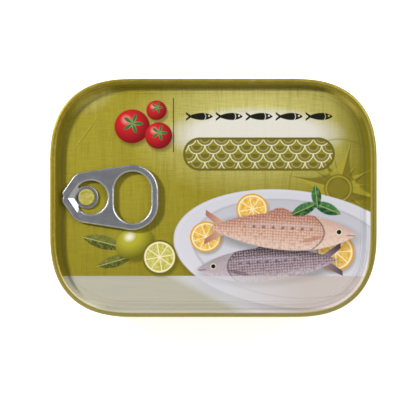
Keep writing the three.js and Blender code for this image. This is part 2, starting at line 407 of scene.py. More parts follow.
@dataclass(frozen=True)
class TinOutline:
    """The tin's plan, a rectangle whose corners are superellipse curves."""

    half_length: float
    half_width: float
    reach: float = 27.9 * MM
    power: float = 2.6
    count: int = 480
    corner_steps: int = 600

    def points(self) -> tuple[np.ndarray, np.ndarray]:
        """Evenly spaced points and outward normals, anticlockwise.

        A corner's points are its middle plus reach times cos and sin of t, each to the power of 2
        over the exponent; a normal is that point's own cos and sin parts to the exponent less 1.

        Returns:
            Points and unit normals, each count by 2.
        """
        turn = np.linspace(0.0, math.pi / 2, self.corner_steps)
        along = np.cos(turn).clip(0.0) ** (2 / self.power)
        across = np.sin(turn).clip(0.0) ** (2 / self.power)
        corner = np.stack([along, across], axis=1)
        middle = np.array([self.half_length - self.reach, self.half_width - self.reach])
        slope = corner ** (self.power - 1)
        places = []
        normals = []
        for quarter, sign in enumerate(((1, 1), (-1, 1), (-1, -1), (1, -1))):
            order = slice(None) if quarter % 2 == 0 else slice(None, None, -1)
            places.append((np.array(sign) * (middle + self.reach * corner))[order])
            normals.append((np.array(sign) * slope)[order])
        place = np.concatenate(places)
        normal = np.concatenate(normals)
        return resampled(place, normal, self.count)


def resampled(place: np.ndarray, normal: np.ndarray, count: int) -> tuple[np.ndarray, np.ndarray]:
    """Evenly spaced points and unit normals along a closed line, read off by its running length.

    Args:
        place: Points of the line.
        normal: An outward normal at each of them.
        count: How many points come out.

    Returns:
        Points and unit normals, each count by 2.
    """
    closed = np.concatenate([place, place[:1]])
    closed_normal = np.concatenate([normal, normal[:1]])
    run = np.concatenate([[0.0], np.cumsum(np.linalg.norm(np.diff(closed, axis=0), axis=1))])
    at = np.linspace(0.0, run[-1], count, endpoint=False)
    points = np.stack([np.interp(at, run, closed[:, axis]) for axis in (0, 1)], axis=1)
    out = np.stack([np.interp(at, run, closed_normal[:, axis]) for axis in (0, 1)], axis=1)
    return points, out / np.linalg.norm(out, axis=1, keepdims=True)


def carried(outline: TinOutline, profile: np.ndarray) -> np.ndarray:
    """A profile carried round the outline: point less inset times normal, at the profile's height.

    Args:
        outline: The plan that it goes round.
        profile: Points (inset, height) in order.

    Returns:
        Points by place round the outline and place along the profile.
    """
    points, normals = outline.points()
    plan = points[:, None, :] - profile[None, :, 0, None] * normals[:, None, :]
    height = np.broadcast_to(profile[None, :, 1], plan.shape[:2])
    return np.concatenate([plan, height[:, :, None]], axis=2)


def turned(section: np.ndarray, centre: tuple[float, float], count: int) -> np.ndarray:
    """A section (radius, height) turned about an upright axis, by cos and sin of the angle.

    Args:
        section: Points (radius, height) in order.
        centre: Where the axis stands.
        count: How many steps it takes to go round.

    Returns:
        Points by angle and place along the section.
    """
    around = np.linspace(0.0, 2 * math.pi, count, endpoint=False)
    x = centre[0] + np.cos(around)[:, None] * section[None, :, 0]
    y = centre[1] + np.sin(around)[:, None] * section[None, :, 0]
    return np.stack([x, y, np.broadcast_to(section[None, :, 1], x.shape)], axis=2)


def drawn_in(edge: np.ndarray, shares: np.ndarray, height: float) -> np.ndarray:
    """Rings from a closed edge to the middle: the edge's plan times each share, at one height.

    Args:
        edge: Points of the edge.
        shares: How far out each ring lies, 1 on the edge.
        height: The height of every ring.

    Returns:
        Points by place round the edge and ring.
    """
    plan = edge[:, None, :2] * shares[None, :, None]
    level = np.full(plan.shape[:2] + (1,), height)
    return np.concatenate([plan, level], axis=2)


# Pieces


@dataclass
class CanBody:
    """The drawn body: standing ring, recessed base, round base edge and straight wall."""

    outline: TinOutline
    top: float
    wall_inset: float = 1.3 * MM
    edge_radius: float = 3.4 * MM
    ring: float = 4.0 * MM
    recess: float = 0.8 * MM
    step: float = 1.2 * MM
    base_margin: float = 9.0 * MM
    lip: float = 0.2 * MM
    lid_recess: float = 1.3 * MM
    rings: int = 10
    sharp_degrees: float = 40.0

    def profile(self) -> np.ndarray:
        """The section from the base recess out, round the edge, up the wall and in under the lid.

        Returns:
            Points (inset, height) in order.
        """
        outer = self.wall_inset + self.edge_radius
        inner = outer + self.ring
        rise = self.recess / 2
        mouth = self.wall_inset + self.lip
        under_lid = self.top - self.lid_recess
        return np.concatenate([
            line((inner + self.base_margin, self.recess), (inner + self.step + rise, self.recess), 6),
            line((inner + self.step, self.recess - rise / 3), (inner + rise, rise / 3), 3),
            line((inner, 0.0), (outer, 0.0), 6),
            arc((outer, self.edge_radius), self.edge_radius, 270, 180, 16)[1:],
            line((self.wall_inset, self.edge_radius), (self.wall_inset, self.top), 24)[1:],
            line((mouth, self.top), (mouth + 1.5 * self.lip, under_lid), 1),
            line((mouth + 2 * self.lip, under_lid), (inner, under_lid), 2),
        ])

    def build(self) -> bpy.types.Object:
        """Builds the closed body and dresses it.

        Returns:
            The finished piece.
        """
        patches = Patchwork()
        section = self.profile()
        shell = carried(self.outline, section)
        patches.add(shell, (True, False))
        shares = np.linspace(0.0, 1.0, self.rings)
        patches.add(drawn_in(shell[:, 0], shares, section[0, 1]), (True, False))
        patches.add(drawn_in(shell[:, -1], shares[::-1], section[-1, 1]), (True, False))
        piece = patches.build("can_body_finish", self.sharp_degrees)
        piece.data.materials.append(BodyLacquer().build())
        return piece


@dataclass
class Lid:
    """The seamed-on lid: seam, chuck wall, groove, score line, panel and rivet."""

    outline: TinOutline
    height: float
    seam_width: float = 1.95 * MM
    seam_length: float = 3.35 * MM
    seam_edge: float = 0.3 * MM
    skirt: float = 1.0 * MM
    crown_turn: float = 168.0
    crown_rise: float = 0.55 * MM
    panel_depth: float = 3.1 * MM
    sheet: float = 0.5 * MM
    wall_run: float = 0.9 * MM
    groove_width: float = 1.5 * MM
    groove_depth: float = 0.2 * MM
    score_inset: float = 4.8 * MM
    score_half_width: float = 0.12 * MM
    score_depth: float = 0.08 * MM
    ridges: tuple[tuple[float, float, float, float], ...] = (
        (-45.4 * MM, 15.0 * MM, -37.0 * MM, 27.0 * MM),
        (-45.7 * MM, -14.5 * MM, -36.6 * MM, -27.0 * MM),
    )
    ridge_half_width: float = 0.32 * MM
    ridge_height: float = 0.07 * MM
    rivet_place: tuple[float, float] = (RIVET_X, RIVET_Y)
    rivet_shank: float = 1.9 * MM
    rivet_head: float = 2.65 * MM
    rivet_base: float = 1.05 * MM
    rivet_height: float = 0.55 * MM
    rivet_dish: float = 0.14 * MM
    rivet_dish_run: float = 0.9 * MM
    rivet_count: int = 64
    rings: int = 24
    sharp_degrees: float = 32.0

    @property
    def panel_top(self) -> float:
        """The height of the sunk panel."""
        return self.height - self.panel_depth

    def profile(self) -> np.ndarray:
        """The section from under the seam, over its crown and down to the panel past the score.

        Returns:
            Points (inset, height) in order.
        """
        crown = self.seam_width / 2
        bottom = self.height - self.seam_length
        foot = self.seam_width + self.wall_run
        floor = self.panel_top - self.groove_depth
        crown_arc = arc((1.0, 0.0), 1.0, 180, 180 - self.crown_turn, 26) * (crown, self.crown_rise)
        crown_arc += (0.0, self.height - self.crown_rise)
        share = np.linspace(0.0, 1.0, 17)
        groove_height = self.panel_top - self.groove_depth * np.sin(share * math.pi)
        groove_arc = np.stack([foot + self.groove_width * share**2, groove_height], axis=1)
        score_inset = self.score_inset + self.score_half_width * np.array([-2, -1, -1 / 3, 1 / 3, 1, 2])
        score_height = self.panel_top - self.score_depth * np.array([0, 0, 1, 1, 0, 0])
        return np.concatenate([
            line((foot, floor - self.sheet), (self.skirt, bottom + 2 * self.seam_edge), 4),
            line((self.skirt, bottom + self.seam_edge), (self.skirt, bottom), 1),
            arc((self.seam_edge, bottom + self.seam_edge), self.seam_edge, 270, 180, 6),
            line((0.0, bottom + 2 * self.seam_edge), (0.0, self.height - 1.2 * self.crown_rise), 4),
            crown_arc,
            line(tuple(crown_arc[-1]), tuple(groove_arc[0]), 8)[1:-1],
            groove_arc,
            np.stack([score_inset, score_height], axis=1),
        ])

    def rivet(self) -> np.ndarray:
        """The rivet turned about its axis: shank, rounded head and a slightly dished top.

        Returns:
            Points by angle and place along the section.
        """
        root = self.panel_top - self.sheet / 2
        base = self.panel_top + self.rivet_base
        edge = self.rivet_height / 2
        flat = self.rivet_head - edge
        dish = np.linspace(flat, 0.0, 12)[1:]
        sunk = self.rivet_dish * ease(flat - dish, 0.0, self.rivet_dish_run)
        section = np.concatenate([
            [[0.0, root], [self.rivet_shank, root], [self.rivet_shank, base]],
            arc((flat, base + edge), edge, -90, 90, 10),
            np.stack([dish, base + self.rivet_height - sunk], axis=1),
        ])
        return turned(section, self.rivet_place, self.rivet_count)

    def ridge(self, start: tuple[float, float], end: tuple[float, float]) -> np.ndarray:
        """A faint raised line on the panel: a long flat ellipsoid, half sunk, from pole to pole.

        Args:
            start: Where one end lies.
            end: Where the other end lies.

        Returns:
            Points by place along the ridge and angle round it.
        """
        along = (np.array(end) - np.array(start)) / 2
        middle = (np.array(end) + np.array(start)) / 2
        side = np.array([-along[1], along[0]]) / np.linalg.norm(along)
        pole = np.linspace(math.pi, 0.0, 33)
        around = np.linspace(0.0, 2 * math.pi, 16, endpoint=False)
        across = np.sin(pole)[:, None] * np.cos(around)[None, :] * self.ridge_half_width
        height = np.sin(pole)[:, None] * np.sin(around)[None, :] * self.ridge_height
        plan = middle + np.cos(pole)[:, None, None] * along + across[:, :, None] * side
        return np.concatenate([plan, self.panel_top + height[:, :, None]], axis=2)

    def build(self) -> bpy.types.Object:
        """Builds the closed lid and dresses it.

        Returns:
            The finished piece.
        """
        patches = Patchwork()
        section = self.profile()
        shell = carried(self.outline, section)
        patches.add(shell, (True, False), section[:, 0] / MM)
        inmost = section[-1, 0] / MM
        shares = np.linspace(1.0, 0.0, self.rings)
        patches.add(drawn_in(shell[:, -1], shares, self.panel_top), (True, False), inmost)
        patches.add(drawn_in(shell[:, 0], shares[::-1], section[0, 1]), (True, False), inmost)
        for x0, y0, x1, y1 in self.ridges:
            patches.add(self.ridge((x0, y0), (x1, y1)), (False, True), inmost)
        patches.add(self.rivet(), (True, False), inmost)
        piece = patches.build("lid_finish", self.sharp_degrees)
        piece.data.materials.append(LidPrint().build())
        return piece


@dataclass(frozen=True)
class Corner:
    """A corner of a rounded outline: its sharp point and its radius."""

    x: float
    y: float
    radius: float

    def mirrored(self) -> "Corner":
        """The same corner on the other side of the mid-line."""
        return Corner(self.x, -self.y, self.radius)


def rounded(corners: list[Corner], steps: int) -> np.ndarray:
    """A closed anticlockwise outline through corners, each an arc that touches both its sides.

    Args:
        corners: The corners in order.
        steps: How many steps each arc has.

    Returns:
        Points of the outline.
    """
    stretches = []
    for index, corner in enumerate(corners):
        here = np.array([corner.x, corner.y])
        before = corners[index - 1]
        after = corners[(index + 1) % len(corners)]
        back = np.array([before.x, before.y]) - here
        ahead = np.array([after.x, after.y]) - here
        back /= np.linalg.norm(back)
        ahead /= np.linalg.norm(ahead)
        half = math.acos(float(back @ ahead)) / 2
        inwards = (back + ahead) / np.linalg.norm(back + ahead)
        centre = here + inwards * corner.radius / math.sin(half)
        first = here + back * corner.radius / math.tan(half) - centre
        sweep = math.pi - 2 * half
        turn = math.atan2(first[1], first[0]) + np.linspace(0.0, sweep, steps + 1)
        stretches.append(centre + corner.radius * np.stack([np.cos(turn), np.sin(turn)], axis=1))
    return np.concatenate(stretches)


def distance_to(points: np.ndarray, closed_line: np.ndarray) -> np.ndarray:
    """The least distance from each point to a closed line of straight stretches.

    Args:
        points: The points.
        closed_line: Points of the line in order.

    Returns:
        A distance for each point.
    """
    along = np.roll(closed_line, -1, axis=0) - closed_line
    length = (along * along).sum(axis=1).clip(1e-18)
    offset = points[:, None, :] - closed_line[None]
    share = ((offset * along[None]).sum(axis=2) / length[None]).clip(0.0, 1.0)
    nearest = offset - share[:, :, None] * along[None]
    return np.sqrt((nearest * nearest).sum(axis=2).min(axis=1))


def split_by(outline: np.ndarray, x: float) -> tuple[np.ndarray, np.ndarray, float, float]:
    """Cuts a closed outline at a line across it.

    Args:
        outline: Anticlockwise points.
        x: Where the cut lies.

    Returns:
        The stretch left of the cut and the stretch right of it, both anticlockwise and with their
        ends on the cut, and the cut's lowest and highest y.
    """
    left = outline[:, 0] < x
    enters = int(np.flatnonzero(left & ~np.roll(left, 1))[0])
    ordered = np.roll(outline, -enters, axis=0)
    size = int(left.sum())

    def crossing(first: np.ndarray, second: np.ndarray) -> np.ndarray:
        """The point between two points where the line lies."""
        share = (x - first[0]) / (second[0] - first[0])
        return first + share * (second - first)

    upper = crossing(ordered[-1], ordered[0])
    lower = crossing(ordered[size - 1], ordered[size])
    left_part = np.concatenate([[upper], ordered[:size], [lower]])
    right_part = np.concatenate([[lower], ordered[size:], [upper]])
    return left_part, right_part, float(lower[1]), float(upper[1])


def aimed(centre: np.ndarray, towards: np.ndarray) -> np.ndarray:
    """Directions of length one from a centre towards points."""
    away = towards - centre
    return away / np.linalg.norm(away, axis=1, keepdims=True)


def spaced(points: np.ndarray, step: float) -> np.ndarray:
    """An open line's points, spaced evenly at about the given step, with its ends kept.

    Args:
        points: The line's points in order.
        step: The spacing to aim at.

    Returns:
        The new points.
    """
    run = np.concatenate([[0.0], np.cumsum(np.linalg.norm(np.diff(points, axis=0), axis=1))])
    at = np.linspace(0.0, run[-1], max(2, int(round(run[-1] / step)) + 1))
    return np.stack([np.interp(at, run, points[:, axis]) for axis in (0, 1)], axis=1)


@dataclass
class RingPull:
    """The ring pull: flat web, curled outer edge, beads round its openings, tongue and eye."""

    panel_top: float
    mid_y: float = RIVET_Y
    nose: Corner = Corner(-49.0 * MM, 1.5 * MM, 0.9 * MM)
    shoulder: Corner = Corner(-44.6 * MM, 7.9 * MM, 5.0 * MM)
    finger_end: Corner = Corner(-17.7 * MM, 12.0 * MM, 8.5 * MM)
    corner_steps: int = 24
    curl: float = 0.62 * MM
    rise: float = 0.3 * MM
    sheet: float = 0.45 * MM
    web: float = 1.07 * MM
    hole_x: float = -26.1 * MM
    hole_half_width: float = 5.95 * MM
    hole_half_height: float = 8.3 * MM
    hole_bead: tuple[float, float] = (0.75 * MM, 0.5 * MM)
    window_x: float = -39.6 * MM
    window_radius: float = 5.4 * MM
    window_cut: float = -43.7 * MM
    window_bead: tuple[float, float] = (0.95 * MM, 0.4 * MM)
    window_bead_fade: tuple[float, float] = (math.radians(16), math.radians(2))
    split_x: float = -33.1 * MM
    eye_x: float = RIVET_X
    eye_radius: float = 3.75 * MM
    eye_hole: float = 2.2 * MM
    eye_rise: float = 0.16 * MM
    eye_count: int = 96
    edge_steps: int = 8
    tongue_half_width: float = 3.0 * MM
    tongue_slack: float = 0.005 * MM
    tongue_root: float = 0.15 * MM
    tongue_gap: float = 0.3 * MM
    tongue_tip: float = 0.1 * MM
    lift_degrees: float = 1.2
    fold_y: float = -0.3 * MM
    fold_start: float = 2.4 * MM
    fold_end: float = 4.0 * MM
    fold_floor: tuple[float, float] = (-47.0 * MM, -44.6 * MM)
    fold_least: float = 0.44
    fold_run: tuple[float, float] = (42.4 * MM, 43.4 * MM)
    notch_y: float = 0.3 * MM
    notch_depth: float = 0.3 * MM
    notch_half_width: float = 0.45 * MM
    notch_run: tuple[float, float] = (47.5 * MM, 48.6 * MM)
    step: float = 0.25 * MM
    columns: int = 44
    sharp_degrees: float = 35.0

    @property
    def hole_reach(self) -> float:
        """How far the centres of the finger hole's round ends lie from its middle."""
        return self.hole_half_height - self.hole_half_width

    def edge(self) -> np.ndarray:
        """The outer edge, with a small notch at the nose: a bell curve pressed into its tip.

        Returns:
            Points of the edge, anticlockwise.
        """
        upper = [self.finger_end, self.shoulder, self.nose]
        lower = [corner.mirrored() for corner in reversed(upper)]
        outline = rounded(lower + upper, self.corner_steps)
        closed = spaced(np.concatenate([outline, outline[:1]]), self.step)[:-1]
        bell = np.exp(-((closed[:, 1] - self.notch_y) / self.notch_half_width) ** 2)
        at_nose = ease(-closed[:, 0], *self.notch_run)
        closed[:, 0] += self.notch_depth * bell * at_nose
        return closed

    def hole_edge(self, towards: np.ndarray) -> np.ndarray:
        """Points of the finger hole's edge in line with the given points, seen from its centre.

        A ray from the centre first meets one of the two straight sides. Where that lies past the
        side's end, it meets the round end instead: the far root of a ray against a circle.

        Args:
            towards: Points outside the hole.

        Returns:
            A point of the edge for each of them.
        """
        centre = np.array([self.hole_x, 0.0])
        away = aimed(centre, towards)
        straight = self.hole_half_width / np.abs(away[:, 0]).clip(1e-9)
        end = np.sign(away[:, 1]) * self.hole_reach
        along = away[:, 1] * end
        round_end = along + np.sqrt((along**2 - end**2 + self.hole_half_width**2).clip(0.0))
        on_side = np.abs(straight * away[:, 1]) <= self.hole_reach
        return centre + away * np.where(on_side, straight, round_end)[:, None]

    def window_edge(self, towards: np.ndarray) -> np.ndarray:
        """Points of the window's edge in line with the given points, seen from its centre.

        Args:
            towards: Points outside the window.

        Returns:
            A point of the edge for each of them.
        """
        centre = np.array([self.window_x, 0.0])
        away = aimed(centre, towards)
        cut_reach = (self.window_cut - self.window_x) / np.minimum(away[:, 0], -1e-6)
        reach = np.minimum(self.window_radius, np.where(away[:, 0] < 0, cut_reach, np.inf))
        return centre + away * reach[:, None]

    @staticmethod
    def beaded(
        distance: np.ndarray,
        half: tuple[float, float],
        crown: float,
        low: np.ndarray,
        high: np.ndarray,
    ) -> tuple[np.ndarray, np.ndarray]:
        """Adds an oval bead along an edge to a sheet's two faces.

        At a share s of its half width from the edge, the bead's faces lie at its centre plus and
        less its half height times the root of one less (s less one) squared. Past the bead's crown
        the sheet takes over.

        Args:
            distance: Distance from the edge.
            half: The bead's half width and half height.
            crown: Height of the bead's top.
            low: Height of the sheet's underside.
            high: Height of its top.

        Returns:
            The new underside and top.
        """
        share = distance / half[0]
        centre = crown - half[1]
        swell = half[1] * np.sqrt((1 - (share - 1) ** 2).clip(0.0))
        outer = share < 1
        bead_high = np.where(share < 2, centre + swell, -np.inf)
        bead_low = np.where(share < 2, centre - swell, np.inf)
        return (
            np.where(outer, bead_low, np.minimum(bead_low, low)),
            np.where(outer, bead_high, np.maximum(bead_high, high)),
        )

    def faces(self, plan: np.ndarray, edge: np.ndarray) -> tuple[np.ndarray, np.ndarray]:
        """Heights of the pull's underside and top at points of its plan.

        The web is flat. Inside the nose it folds down in two flat facets, each along one straight
        edge of the nose, to a floor that slopes down to the eye. The three edges carry their beads.

        Args:
            plan: Points by row, column and axis.
            edge: The outer edge.

        Returns:
            Underside and top by row and column.
        """
        flat = plan.reshape(-1, 2)
        web_top = self.panel_top + self.web + self.sheet
        eye_top = self.panel_top + self.eye_rise + self.sheet
        side = np.array([self.shoulder.x - self.nose.x, self.shoulder.y - self.nose.y])
        side /= np.linalg.norm(side)
        past_nose = flat[:, 0] - self.nose.x
        from_side = past_nose * side[1] - (np.abs(flat[:, 1] - self.fold_y) - self.nose.y) * side[0]
        deepest = self.fold_least + (1 - self.fold_least) * ease(flat[:, 0], *self.fold_floor)
        fall = np.clip((from_side - self.fold_start) / (self.fold_end - self.fold_start), 0.0, deepest)
        near_nose = ease(-flat[:, 0], *self.fold_run)
        high = web_top - near_nose * fall * (web_top - eye_top)
        low = high - self.sheet
        curl_top = self.panel_top + self.rise + 2 * self.curl
        low, high = self.beaded(distance_to(flat, edge), (self.curl, self.curl), curl_top, low, high)
        end_y = np.clip(flat[:, 1], -self.hole_reach, self.hole_reach)
        from_hole = np.hypot(flat[:, 0] - self.hole_x, flat[:, 1] - end_y) - self.hole_half_width
        low, high = self.beaded(from_hole.clip(0.0), self.hole_bead, web_top, low, high)
        from_window = np.hypot(flat[:, 0] - self.window_x, flat[:, 1]) - self.window_radius
        bead_low, bead_high = self.beaded(from_window.clip(0.0), self.window_bead, web_top, low, high)
        angle = np.abs(np.arctan2(flat[:, 1], flat[:, 0] - self.window_x))
        cut_angle = math.acos((self.window_cut - self.window_x) / self.window_radius)
        fade_start, fade_end = self.window_bead_fade
        keep = 1 - ease(angle, cut_angle - fade_start, cut_angle - fade_end)
        keep = np.where(flat[:, 0] < self.split_x, keep, 0.0)
        low = low + keep * (bead_low - low)
        high = high + keep * (bead_high - high)
        shape = plan.shape[:2]
        return low.reshape(shape), high.reshape(shape)

    def lifted(self, grid: np.ndarray) -> np.ndarray:
        """A grid raised towards the finger end: by the lift's tangent times the way past the rivet.

        Args:
            grid: Points by row, column and axis.

        Returns:
            The raised points.
        """
        raised = grid.copy()
        raised[:, :, 2] += math.tan(math.radians(self.lift_degrees)) * (grid[:, :, 0] - self.eye_x)
        return raised

    def add_half(
        self, patches: Patchwork, boundary: np.ndarray, opening: np.ndarray, edge: np.ndarray
    ) -> None:
        """Adds the top, underside and inner wall between an opening and the boundary round it.

        A point is the opening's point plus a share of the way to the boundary's, and the shares
        crowd towards both ends as a cosine does.

        Args:
            patches: Where the grids go.
            boundary: Points round the half, anticlockwise.
            opening: The opening's point for each of them.
            edge: The pull's outer edge.
        """
        share = (1 - np.cos(np.linspace(0.0, math.pi, self.columns))) / 2
        plan = opening[:, None, :] + share[None, :, None] * (boundary - opening)[:, None, :]
        low, high = self.faces(plan, edge)
        shift = np.array([0.0, self.mid_y])
        top, under = (
            self.lifted(np.concatenate([plan + shift, face[:, :, None]], axis=2)) for face in (high, low)
        )
        patches.add(top[:, ::-1], (True, False))
        patches.add(under, (True, False))
        patches.add(np.stack([top[:, 0], under[:, 0]], axis=1), (True, False))

    def eye(self) -> np.ndarray:
        """The eye, a flat washer with rounded edges turned about the rivet.

        Returns:
            Points by angle and place along the section.
        """
        half = self.sheet / 2
        middle = self.panel_top + self.eye_rise + half
        outer = arc((self.eye_radius - half, middle), half, -90, 90, self.edge_steps)
        inner = arc((self.eye_hole + half, middle), half, 90, 270, self.edge_steps)
        return turned(np.concatenate([outer, inner]), (self.eye_x, self.mid_y), self.eye_count)

    def tongue(self) -> np.ndarray:
        """The tongue, a flat strip with rounded sides carried from the window's cut to the eye.

        Returns:
            Points by place along the tongue and place round its section.
        """
        half = self.sheet / 2 - self.tongue_slack
        middle = self.panel_top + self.eye_rise + self.sheet / 2
        right = arc((self.tongue_half_width - half, 0.0), half, -90, 90, self.edge_steps)
        section = np.concatenate([right, -right])
        closing = np.array([0.0, 1.0, 1.0, 1.0, 1.0, 0.0])
        start = self.window_cut - self.tongue_root
        end = self.eye_x - self.eye_hole - self.tongue_gap
        x = np.array([start, start, (start + end) / 2, end - self.tongue_tip, end, end])
        across = closing[:, None] * section[None, :, 0]
        height = middle + closing[:, None] * section[None, :, 1]
        along = np.broadcast_to(x[:, None], across.shape)
        return np.stack([along, self.mid_y + across, height], axis=2)

    def build(self) -> bpy.types.Object:
        """Builds the pull and dresses it.

        Returns:
            The finished piece.
        """
        patches = Patchwork()
        edge = self.edge()
        left, right, lowest, highest = split_by(edge, self.split_x)
        cut = np.linspace(lowest, highest, int((highest - lowest) / self.step))[1:-1]
        across = np.stack([np.full(len(cut), self.split_x), cut], axis=1)
        left_round = np.concatenate([left, across])
        right_round = np.concatenate([right, across[::-1]])
        self.add_half(patches, left_round, self.window_edge(left_round), edge)
        self.add_half(patches, right_round, self.hole_edge(right_round), edge)
        patches.add(self.lifted(self.eye()), (True, True))
        patches.add(self.lifted(self.tongue()), (False, True))
        piece = patches.build("ring_pull_finish", self.sharp_degrees)
        piece.data.materials.append(PullMetal().build())
        return piece


# Print, in millimetres

TABLE_EDGE = -25.3
TABLE_SOFT = 0.15
LINE_SOFT = 0.1


class Ink(Enum):
    """The print's inks."""

    OLIVE = srgb(144, 133, 34)
    OLIVE_LIGHT = srgb(166, 154, 50)
    OLIVE_PALE = srgb(184, 177, 104)
    OLIVE_DEEP = srgb(136, 128, 34)
    OLIVE_DARK = srgb(106, 96, 28)
    # Painted shade: the panel's far right edge, and the pull's shadow beside the rivet.
    OLIVE_SHADE = srgb(122, 113, 31)
    # Painted light on the wall in the upper corners.
    OLIVE_BEND_LIGHT = srgb(222, 205, 92)
    # Darker inks on the chuck wall: painted shade, deeper towards the right.
    OLIVE_WALL_SHADE = srgb(148, 135, 26)
    OLIVE_WALL_DEEP_SHADE = srgb(112, 102, 16)
    THREAD = srgb(104, 94, 16)
    HAZE = srgb(217, 210, 132)
    GLOW = srgb(222, 220, 214)
    TABLE = srgb(182, 178, 158)
    TABLE_COOL = srgb(204, 203, 208)
    TABLE_WARM = srgb(190, 175, 164)
    PLATE = srgb(205, 204, 211)
    PLATE_LIGHT = srgb(216, 214, 219)
    PLATE_SHADE = srgb(163, 163, 172)
    RULE = srgb(58, 53, 26)
    NIGHT = srgb(24, 22, 14)
    PALE_LINE = srgb(226, 222, 196)
    RED = srgb(196, 34, 38)
    RED_DEEP = srgb(122, 14, 20)
    RED_LIGHT = srgb(238, 150, 140)
    LEAF = srgb(52, 108, 58)
    LEAF_LIGHT = srgb(124, 166, 100)
    LEAF_DEEP = srgb(24, 70, 40)
    SAGE = srgb(104, 108, 44)
    SAGE_LIGHT = srgb(146, 146, 74)
    SAGE_DEEP = srgb(70, 76, 32)
    GOLD = srgb(216, 158, 46)
    GOLD_LIGHT = srgb(238, 204, 112)
    PITH = srgb(242, 230, 186)
    LIME = srgb(174, 167, 50)
    LIME_LIGHT = srgb(208, 202, 124)
    LIME_DEEP = srgb(104, 99, 20)
    GLEAM = srgb(240, 236, 214)
    SALMON = srgb(208, 168, 146)
    SALMON_DEEP = srgb(166, 108, 88)
    SALMON_PALE = srgb(230, 208, 194)
    SLATE = srgb(150, 128, 136)
    SLATE_DEEP = srgb(84, 66, 74)
    SLATE_PALE = srgb(212, 200, 204)
    SHADOW = srgb(120, 112, 100)


class Facing(Enum):
    """Which way a fish's head points."""

    RIGHT = 1
    LEFT = -1


@dataclass(frozen=True)
class Spot:
    """A place on the print: its middle, its half sizes in millimetres and its turn in degrees."""

    x: float
    y: float
    half_width: float
    half_height: float
    turn: float = 0.0

    def moved(self, along: float, across: float) -> "Spot":
        """The same spot, shifted."""
        return replace(self, x=self.x + along, y=self.y + across)

    def grown(self, share: float) -> "Spot":
        """The same spot, larger or smaller about its middle."""
        return replace(self, half_width=self.half_width * share, half_height=self.half_height * share)


class Canvas:
    """A print that is laid down in fields of colour, one over another."""

    WALL_FOOT = 3.0
    WALL_SOFT = 0.4
    SLANT = 2.0
    SLANT_RUN = (-67.0, -58.0)
    EDGE = 0.12

    def __init__(self, sheet: NodeSheet, place: Signal, inset: Signal, ground: Ink) -> None:
        """Starts with one ink all over.

        Args:
            sheet: The node sheet that it is drawn on.
            place: The place on the lid in millimetres, with no height.
            inset: How far in from the tin's edge it lies, in millimetres.
            ground: The first ink.
        """
        self.sheet = sheet
        self.place = place
        self.inset = inset
        self.x, self.y, _ = sheet.split(place)
        self.colour: object = ground.value
        self.cloud = sheet.noise(place, scale=0.9, detail=3.0)
        self.grain = sheet.noise(place, scale=3.6, detail=2.0)
        self.wall = (self.WALL_FOOT - inset).inside(self.WALL_SOFT)
        self.right_of_slant = (self.x + self.y * self.SLANT).ramp(*self.SLANT_RUN)

    def blend(self, share: Value, below: object, above: object) -> Signal:
        """A colour between two inks or worked-out colours, to be laid later."""
        pair = [each.value if isinstance(each, Ink) else each for each in (below, above)]
        return self.sheet.mix(share, *pair)

    def lay(self, mask: Value, colour: object) -> None:
        """Lays an ink, or a worked-out colour, over the print by a mask."""
        self.colour = self.blend(mask, self.colour, colour)

    def dim(self, mask: Value, tint: Ink) -> None:
        """Multiplies the print by an ink, by a mask."""
        self.colour = self.sheet.mix(mask, self.colour, tint.value, Blend.TIMES)

    def streaks(self, scale: tuple[float, float]) -> Signal:
        """Noise with so many clouds to a millimetre along and across the tin."""
        return self.sheet.noise(self.sheet.stretched(self.place, (*scale, 1.0)), scale=1.0)

    def mapped(self, spot: Spot) -> Signal:
        """The place seen from a spot, turned with it and measured in its half sizes."""
        made = self.sheet.node(
            "ShaderNodeMapping",
            {"vector_type": "TEXTURE"},
            {
                "Vector": self.place,
                "Location": (spot.x, spot.y, 0.0),
                "Rotation": (0.0, 0.0, math.radians(spot.turn)),
                "Scale": (spot.half_width, spot.half_height, 1.0),
            },
        )
        return self.sheet.signal(made, "Vector")

    def local(self, spot: Spot) -> tuple[Signal, Signal]:
        """The coordinates along and across a spot."""
        along, across, _ = self.sheet.split(self.mapped(spot))
        return along, across

    def radius(self, spot: Spot) -> Signal:
        """The distance from a spot's middle, 1 on the oval of its half sizes."""
        made = self.sheet.node(
            "ShaderNodeVectorMath", {"operation": "LENGTH"}, {"Vector": self.mapped(spot)}
        )
        return self.sheet.signal(made, "Value")

    def oval(self, spot: Spot) -> Signal:
        """A mask of the spot's oval, with a crisp edge."""
        edge = self.EDGE / min(spot.half_width, spot.half_height)
        return (1 - self.radius(spot)).inside(edge)

    def soft(self, spot: Spot, core: float, cover: float = 1.0, rim: float = 1.0) -> Signal:
        """A mask that fades outwards about a spot.

        Args:
            spot: The place.
            core: The share of the spot inside which the mask is full.
            cover: The mask's full value.
            rim: The share of the spot at which the mask is gone.

        Returns:
            The mask.
        """
        return self.radius(spot).ramp(rim, core, 0.0, cover)

    def turn_about(self, along: Signal, across: Signal) -> Signal:
        """The angle of a local place, in radians."""
        return self.sheet.math("ARCTAN2", across, along)


class Motif(Protocol):
    """A part of the print."""

    def paint(self, canvas: Canvas) -> None:
        """Lays the part on the canvas."""


